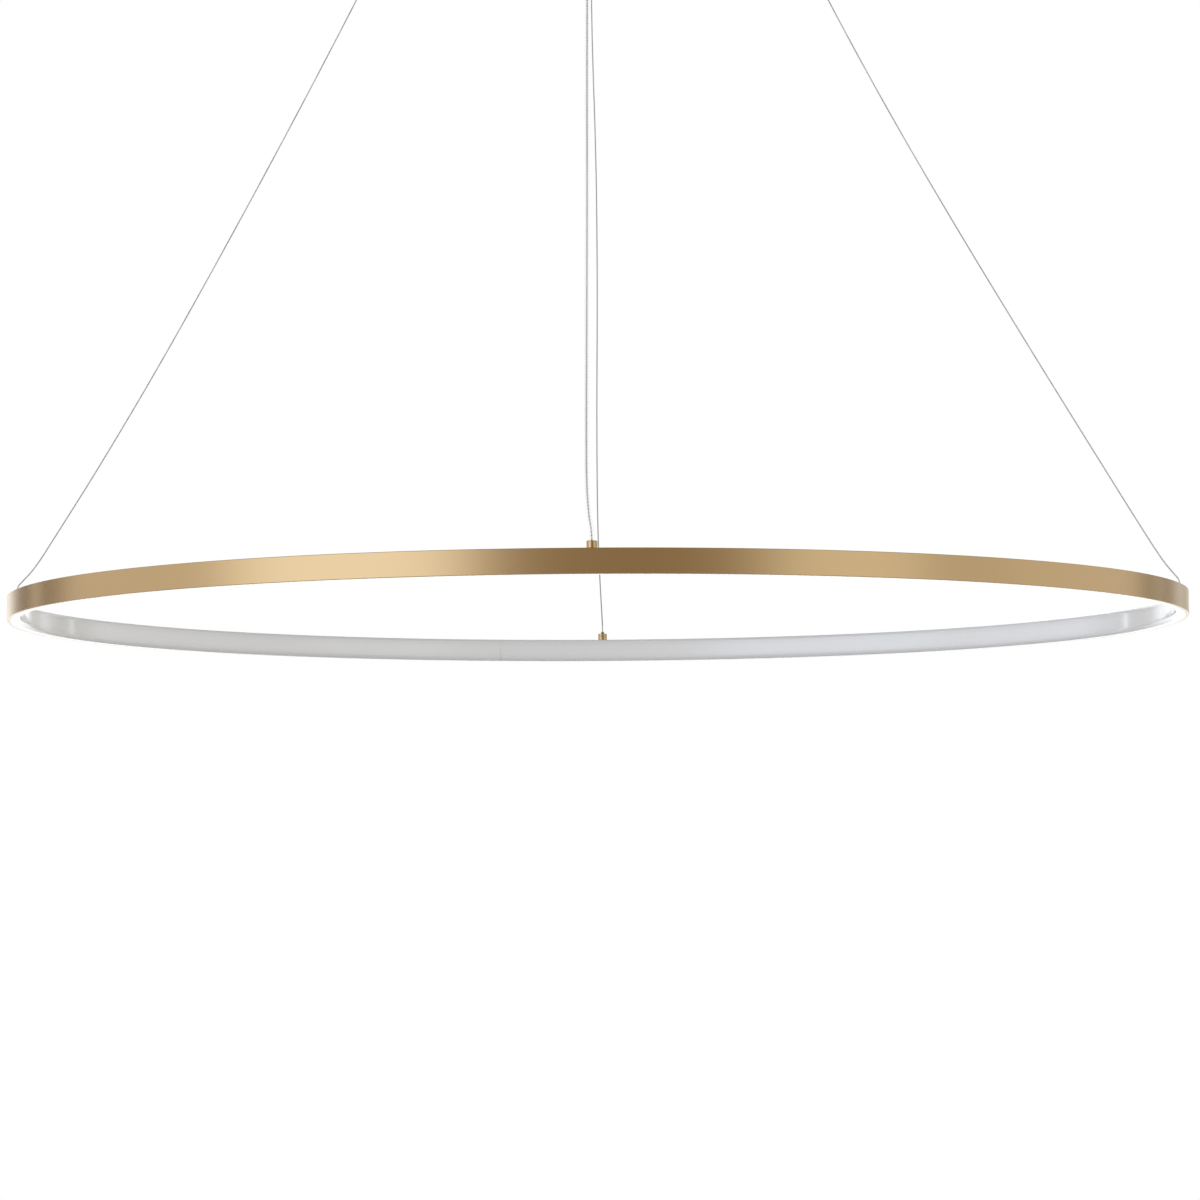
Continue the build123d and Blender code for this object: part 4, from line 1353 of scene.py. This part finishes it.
    def _plunger(self, side: Side, foot: Vector) -> None:
        """Turn a gripper's release plunger, bore its pockets and set its balls.

        Args:
            side: Side of the lamp.
            foot: Place of its axis.
        """
        node = f"gripper_plunger_{side.label}"
        ball_node = f"gripper_balls_{side.label}"
        body = f"plunger_{side.label}"
        shoulder = self.face - self.barrel_length + self.rest_gap
        shoulder_top = shoulder + self.shoulder_height
        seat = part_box(node)[1].z / MM
        seat_low = seat - self.seat_height
        bm = bmesh.new()
        turn(bm, [
            Corner(self.flare_radius, self.mouth, self.flare_round),
            Corner(self.plunger_radius, self.mouth, self.edge),
            Corner(self.plunger_radius, shoulder), Corner(self.shoulder_radius, shoulder),
            Corner(self.shoulder_radius, shoulder_top), Corner(self.tube_radius, shoulder_top),
            Corner(self.tube_radius, seat_low), Corner(self.seat_radius, seat_low),
            Corner(self.seat_radius, seat), Corner(WIRE_BORE, seat),
            Corner(WIRE_BORE, self.mouth + self.flare_height),
        ], foot, self.segments)
        low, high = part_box(ball_node)
        middle = Matrix.Translation(foot + UP * (low.z + high.z) / 2)
        to_side = Matrix.Rotation(math.radians(90.0), 4, "Y")
        pockets = bmesh.new()
        balls = bmesh.new()
        for angle in self.ball_angles:
            turned = middle @ Matrix.Rotation(math.radians(angle), 4, "Z")
            bmesh.ops.create_cone(
                pockets, cap_ends=True, segments=self.small_segments, radius1=self.pocket_radius * MM,
                radius2=self.pocket_radius * MM, depth=self.tube_radius * 2 * MM,
                matrix=turned @ Matrix.Translation((self.tube_radius * MM, 0.0, 0.0)) @ to_side,
            )
            bmesh.ops.create_uvsphere(
                balls, u_segments=self.ball_sides, v_segments=self.ball_rings, radius=self.ball_radius * MM,
                matrix=turned @ Matrix.Translation((self.ball_place * MM, 0.0, 0.0)),
            )
        bore(bm, pockets)
        piece_from(bm, f"brass_plunger_{side.label}", TURNED_BRASS, body, node)
        piece_from(balls, f"steel_balls_{side.label}", BRIGHT_STEEL, body, ball_node)

    def _spring(self, side: Side, foot: Vector) -> None:
        """Wind the spring over a plunger, which shortens as the plunger is pressed.

        Args:
            side: Side of the lamp.
            foot: Place of its axis.
        """
        node = f"gripper_spring_{side.label}"
        low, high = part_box(node)
        length = high.z - low.z
        wire = self.spring_wire * MM / 2
        steps = self.spring_turns * self.small_segments
        start = Matrix.Translation((high.x - foot.x - wire, 0.0, 0.0)) @ Matrix.Rotation(math.pi / 2, 4, "X")
        bm = bmesh.new()
        circle = bmesh.ops.create_circle(
            bm, cap_ends=False, segments=self.spring_sides, radius=wire, matrix=start
        )
        bmesh.ops.spin(
            bm, geom=circle["verts"] + bm.edges[:], axis=UP, cent=(0.0, 0.0, 0.0),
            dvec=(0.0, 0.0, (length - 2 * wire) / steps), angle=math.tau * self.spring_turns, steps=steps,
            use_merge=False, use_duplicate=False,
        )
        bmesh.ops.holes_fill(bm, edges=[edge for edge in bm.edges if edge.is_boundary])
        bmesh.ops.recalc_face_normals(bm, faces=bm.faces[:])
        bmesh.ops.translate(bm, vec=(foot.x, foot.y, low.z + wire), verts=bm.verts[:])
        piece = piece_from(bm, f"steel_spring_{side.label}", BRIGHT_STEEL, "ceiling_set", node)
        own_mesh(piece)

    def _turn_at_wires(self, name: str, node: str, outline: list[Corner]) -> None:
        """Turn the same outline in brass at each wire's outlet, as one piece.

        Args:
            name: Name of the piece.
            node: CAD node that it stands for.
            outline: The outline, about the outlet's axis.
        """
        bm = bmesh.new()
        for side in Side:
            turn(bm, outline, at_angle(self.outlet_radius * MM, side.value), self.segments)
        piece_from(bm, name, TURNED_BRASS, "ceiling_set", node)

    def _necks(self) -> None:
        """Turn the threaded necks that hold the grippers in the canopy's floor."""
        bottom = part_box("gripper_necks")[0].z / MM
        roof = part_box("gripper_spring_rear")[1].z / MM
        self._turn_at_wires("brass_necks", "gripper_necks", [
            Corner(self.chamber, bottom), Corner(self.neck_radius, bottom),
            Corner(self.neck_radius, self.neck_top, self.edge),
            Corner(WIRE_BORE, self.neck_top, self.fine_round),
            Corner(WIRE_BORE, roof), Corner(self.chamber, roof),
        ])

    def _collars(self) -> None:
        """Turn the collars that keep the plungers in."""
        hole = self.plunger_radius + self.plunger_fit
        top = self.face - self.barrel_length
        bottom = top - self.collar_height
        self._turn_at_wires("brass_collars", "gripper_collars", [
            Corner(hole, bottom, self.lip_round), Corner(self.barrel_radius, bottom, self.edge),
            Corner(self.barrel_radius, top, self.lip_round), Corner(hole, top),
        ])

    def _cord_gland(self) -> None:
        """Turn the cord's gland under the canopy, with its grub screw."""
        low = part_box("canopy_gland")[0].z / MM
        place = at_angle(self.outlet_radius * MM, FEED_ANGLE)
        bm = bmesh.new()
        turn(bm, [
            Corner(CORD_BORE, low, self.chamfer), Corner(self.barrel_radius, low, self.edge),
            Corner(self.barrel_radius, self.face, self.fine_round), Corner(self.neck_radius, self.face),
            Corner(self.neck_radius, self.neck_top, self.chamfer), Corner(CORD_BORE, self.neck_top),
        ], place, self.segments)
        axis = place + UP * (low + self.face) / 2 * MM
        GRUB.bore_hole(bm, axis, FEED_ANGLE, WIRE_BORE)
        piece_from(bm, "brass_canopy_gland", TURNED_BRASS, "ceiling_set", "canopy_gland")
        bm = bmesh.new()
        GRUB.add(bm, axis, FEED_ANGLE, CORD_BORE, self.barrel_radius)
        piece_from(bm, "steel_canopy_grub", BRIGHT_STEEL, "ceiling_set", "canopy_gland_grub")

    def _leads(self, node: str, routes: Routes, diameter: float, body: str = "ceiling_set") -> None:
        """Build the leads of one node along their routes.

        Args:
            node: CAD node that they stand for.
            routes: Control points of each lead, in millimetres.
            diameter: Their diameter, in millimetres.
            body: CAD body that they ride on.
        """
        bm = bmesh.new()
        for route in routes:
            # A point at every quarter of the diameter keeps the bends round
            line = smooth_line([Vector(point) * MM for point in route], self.lead_steps, diameter * MM / 4)
            add_tube(bm, line, self.lead_sides, round_section(diameter))
        if node == "earth_lead":
            self._ring_tag(bm, Vector((routes[0][-1][0] * MM, 0.0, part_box(node)[1].z)))
        piece_from(bm, f"vinyl_{node}", LEAD_FINISHES[node], body, node)

    def _ring_tag(self, bm: bmesh.types.BMesh, top: Vector) -> None:
        """Turn the ring tag under the earth screw's head.

        Args:
            bm: The earth lead.
            top: Middle of the tag's upper face.
        """
        turn(bm, [
            Corner(self.tag_hole, 0.0), Corner(self.tag_radius, 0.0, self.lip_round),
            Corner(self.tag_radius, self.tag_thickness, self.lip_round),
            Corner(self.tag_hole, self.tag_thickness),
        ], top - UP * self.tag_thickness * MM, self.tag_segments)


@dataclass(frozen=True)
class WallPart:
    """An upright stretch of the studio's wall, in degrees.

    Its bearing counts to the right of the camera, as the lamp sees it.
    """

    bearing: float
    half_width: float
    softness: float
    colour: Colour


@dataclass(frozen=True)
class HeightPart:
    """A part of the room above or below the lamp, which comes in between two elevations in degrees."""

    start: float
    full: float
    colour: Colour


# A cool window on the left, a weaker one on the right, the dim warm side behind the camera, and dark flags
# towards the backdrop
WALL_PARTS = [
    WallPart(-47.5, 21.0, 13.0, (1.735, 1.875, 2.11)),
    WallPart(50.0, 13.0, 12.0, (1.24, 1.27, 1.26)),
    WallPart(74.0, 7.0, 7.0, (0.90, 0.90, 0.87)),
    WallPart(5.5, 20.0, 15.0, (0.45, 0.37, 0.275)),
    WallPart(-138.5, 11.0, 9.0, (0.29, 0.24, 0.175)),
    WallPart(138.5, 8.0, 6.5, (0.35, 0.31, 0.23)),
]
# Two upright strip lamps, seen as the bright lines near the diffuser's ends, and a grey card at the
# backdrop's right edge
UPRIGHTS = [
    WallPart(-137.5, 0.8, 0.7, (2.2, 2.2, 2.2)),
    WallPart(138.0, 0.8, 0.7, (1.4, 1.4, 1.4)),
    WallPart(161.0, 4.0, 3.5, (0.62, 0.58, 0.50)),
]
BACKDROP = WallPart(180.0, 23.0, 4.0, (1.5, 1.5, 1.5))
# The walls' upper part, the ceiling and the walls' lower part
HEIGHT_PARTS = [
    HeightPart(15.0, 32.0, (0.50, 0.50, 0.50)),
    HeightPart(45.0, 78.0, (0.32, 0.32, 0.32)),
    HeightPart(-7.0, -26.0, (0.66, 0.66, 0.66)),
]


@dataclass
class Studio:
    """Camera, floor and the white room round the lamp."""

    camera_place: tuple[float, float, float] = (0.03931, -4.6, -1.23875)
    yaw: float = 0.4672
    pitch: float = 4.4728
    roll: float = 0.3207
    lens_mm: float = 162.7
    sensor_mm: float = 36.0
    floor_level: float = -2.6
    floor_plain: float = 1.5
    floor_radius: float = 6.0
    floor_segments: int = 96
    floor_colour: str = "EDEDEC"
    floor_white: float = 0.7
    side_walls: Colour = (1.01, 1.00, 0.99)

    def build(self) -> None:
        """Set up the scene round the lamp."""
        bpy.context.scene.view_settings.view_transform = "Standard"
        self._camera()
        self._world()
        self._floor()

    def _camera(self) -> None:
        """Place the camera at the photograph's viewpoint."""
        data = bpy.data.cameras.new("camera")
        data.sensor_width = self.sensor_mm
        data.lens = self.lens_mm
        camera = bpy.data.objects.new("camera", data)
        bpy.context.scene.collection.objects.link(camera)
        turned = (
            Matrix.Rotation(math.radians(self.yaw), 3, "Z")
            @ Matrix.Rotation(math.radians(self.pitch), 3, "X")
            @ Matrix.Rotation(math.radians(self.roll), 3, "Y")
        )
        looking_along_y = Matrix.Rotation(math.radians(90.0), 3, "X")
        camera.matrix_world = Matrix.Translation(self.camera_place) @ (turned @ looking_along_y).to_4x4()
        bpy.context.scene.camera = camera

    def _world(self) -> None:
        """Make the room that lights the lamp, with a backdrop that is plain white to the eye."""
        world = bpy.data.worlds.new("studio")
        bpy.context.scene.world = world
        world.use_nodes = True
        tree = world.node_tree
        tree.nodes.clear()
        path = add_node(tree, "ShaderNodeLightPath")
        heading = add_node(tree, "ShaderNodeTexCoord").outputs["Generated"]
        flat = add_node(tree, "ShaderNodeVectorMath", {"operation": "MULTIPLY"}, {0: heading, 1: FLAT})
        level = add_node(
            tree, "ShaderNodeVectorMath", {"operation": "NORMALIZE"}, {0: flat.outputs["Vector"]}
        ).outputs["Vector"]
        room: bpy.types.NodeSocket | tuple[float, float, float, float] = (*self.side_walls, 1.0)
        for part in WALL_PARTS:
            room = self._wall(tree, room, part, level)
        room = self._wall(tree, room, BACKDROP, level, path.outputs["Is Glossy Ray"])
        height = add_node(tree, "ShaderNodeSeparateXYZ", None, {"Vector": heading}).outputs["Z"]
        for part in HEIGHT_PARTS:
            beyond = add_node(
                tree, "ShaderNodeMapRange", {"interpolation_type": "SMOOTHSTEP"},
                {"Value": height, "From Min": math.sin(math.radians(part.start)),
                 "From Max": math.sin(math.radians(part.full))},
            )
            room = add_node(
                tree, "ShaderNodeMix", {"data_type": "RGBA"},
                {"Factor": beyond.outputs["Result"], "A": room, "B": (*part.colour, 1.0)},
            ).outputs["Result"]
        for part in UPRIGHTS:
            room = self._wall(tree, room, part, level)
        light = add_node(tree, "ShaderNodeBackground", None, {"Color": room, "Strength": 1.0})
        white = add_node(tree, "ShaderNodeBackground", None, {"Color": WHITE, "Strength": 1.0})
        seen = add_node(
            tree, "ShaderNodeMath", {"operation": "MAXIMUM"},
            {0: path.outputs["Is Camera Ray"], 1: path.outputs["Is Transmission Ray"]},
        )
        mixed = add_node(
            tree, "ShaderNodeMixShader", None,
            {0: seen.outputs["Value"], 1: light.outputs["Background"], 2: white.outputs["Background"]},
        )
        add_node(tree, "ShaderNodeOutputWorld", None, {"Surface": mixed.outputs["Shader"]})

    def _wall(
        self,
        tree: bpy.types.NodeTree,
        room: object,
        part: WallPart,
        level: bpy.types.NodeSocket,
        share: bpy.types.NodeSocket | float = 1.0,
    ) -> bpy.types.NodeSocket:
        """Lay a part of the wall over the room so far.

        Args:
            tree: The world's node tree.
            room: Colour of the room so far.
            part: The part to add.
            level: Heading of the ray, laid flat.
            share: How much of the part shows.

        Returns:
            Colour of the room with the part.
        """
        towards = tuple(at_angle(1.0, FEED_ANGLE + part.bearing))
        facing = add_node(
            tree, "ShaderNodeVectorMath", {"operation": "DOT_PRODUCT"}, {0: level, 1: towards}
        )
        inside = add_node(
            tree, "ShaderNodeMapRange", {"interpolation_type": "SMOOTHSTEP"},
            {"Value": facing.outputs["Value"],
             "From Min": math.cos(math.radians(part.half_width + part.softness)),
             "From Max": math.cos(math.radians(max(part.half_width - part.softness, 0.0))),
             "To Max": share},
        )
        return add_node(
            tree, "ShaderNodeMix", {"data_type": "RGBA"},
            {"Factor": inside.outputs["Result"], "A": room, "B": (*part.colour, 1.0)},
        ).outputs["Result"]

    def _floor(self) -> None:
        """Lay a plain pale floor well below the lamp."""
        bm = bmesh.new()
        bmesh.ops.create_circle(bm, cap_ends=True, segments=self.floor_segments, radius=self.floor_radius)
        bmesh.ops.translate(bm, vec=(0.0, 0.0, self.floor_level), verts=bm.verts[:])
        mesh = bpy.data.meshes.new("floor")
        bm.to_mesh(mesh)
        bm.free()
        mesh.materials.append(self._floor_paint())
        floor = bpy.data.objects.new("floor", mesh)
        bpy.context.scene.collection.objects.link(floor)

    def _floor_paint(self) -> bpy.types.Material:
        """Make a pale paint that thins out to the white room towards the floor's rim, and from below.

        Returns:
            The new material.
        """
        material = bpy.data.materials.new("pale_floor")
        material.use_nodes = True
        tree = material.node_tree
        tree.nodes.clear()
        place = add_node(tree, "ShaderNodeTexCoord").outputs["Object"]
        flat = add_node(tree, "ShaderNodeVectorMath", {"operation": "MULTIPLY"}, {0: place, 1: FLAT})
        reach = add_node(tree, "ShaderNodeVectorMath", {"operation": "LENGTH"}, {0: flat.outputs["Vector"]})
        rim = add_node(
            tree, "ShaderNodeMapRange", {"interpolation_type": "SMOOTHSTEP"},
            {"Value": reach.outputs["Value"], "From Min": self.floor_plain, "From Max": self.floor_radius},
        )
        from_below = add_node(tree, "ShaderNodeNewGeometry").outputs["Backfacing"]
        thin = add_node(
            tree, "ShaderNodeMath", {"operation": "MAXIMUM"}, {0: from_below, 1: rim.outputs["Result"]}
        )
        seen = add_node(tree, "ShaderNodeLightPath").outputs["Is Camera Ray"]
        share = add_node(tree, "ShaderNodeMath", {"operation": "MULTIPLY"}, {0: seen, 1: self.floor_white})
        paint = add_node(tree, "ShaderNodeBsdfDiffuse", None, {"Color": linear(self.floor_colour)})
        white = add_node(tree, "ShaderNodeEmission", None, {"Color": WHITE, "Strength": 1.0})
        pale = add_node(
            tree, "ShaderNodeMixShader", None,
            {0: share.outputs["Value"], 1: paint.outputs["BSDF"], 2: white.outputs["Emission"]},
        )
        clear = add_node(tree, "ShaderNodeBsdfTransparent")
        mixed = add_node(
            tree, "ShaderNodeMixShader", None,
            {0: thin.outputs["Value"], 1: pale.outputs["Shader"], 2: clear.outputs["BSDF"]},
        )
        add_node(tree, "ShaderNodeOutputMaterial", None, {"Surface": mixed.outputs["Shader"]})
        return material


def main() -> None:
    """Build the lamp's looks in order."""
    logging.basicConfig(level=logging.INFO, format="%(name)s %(message)s")
    Studio().build()
    band = Band()
    band.build()
    RingFittings().build(band)
    Suspension().build(band)
    Canopy().build()


if __name__ == "__main__":
    main()
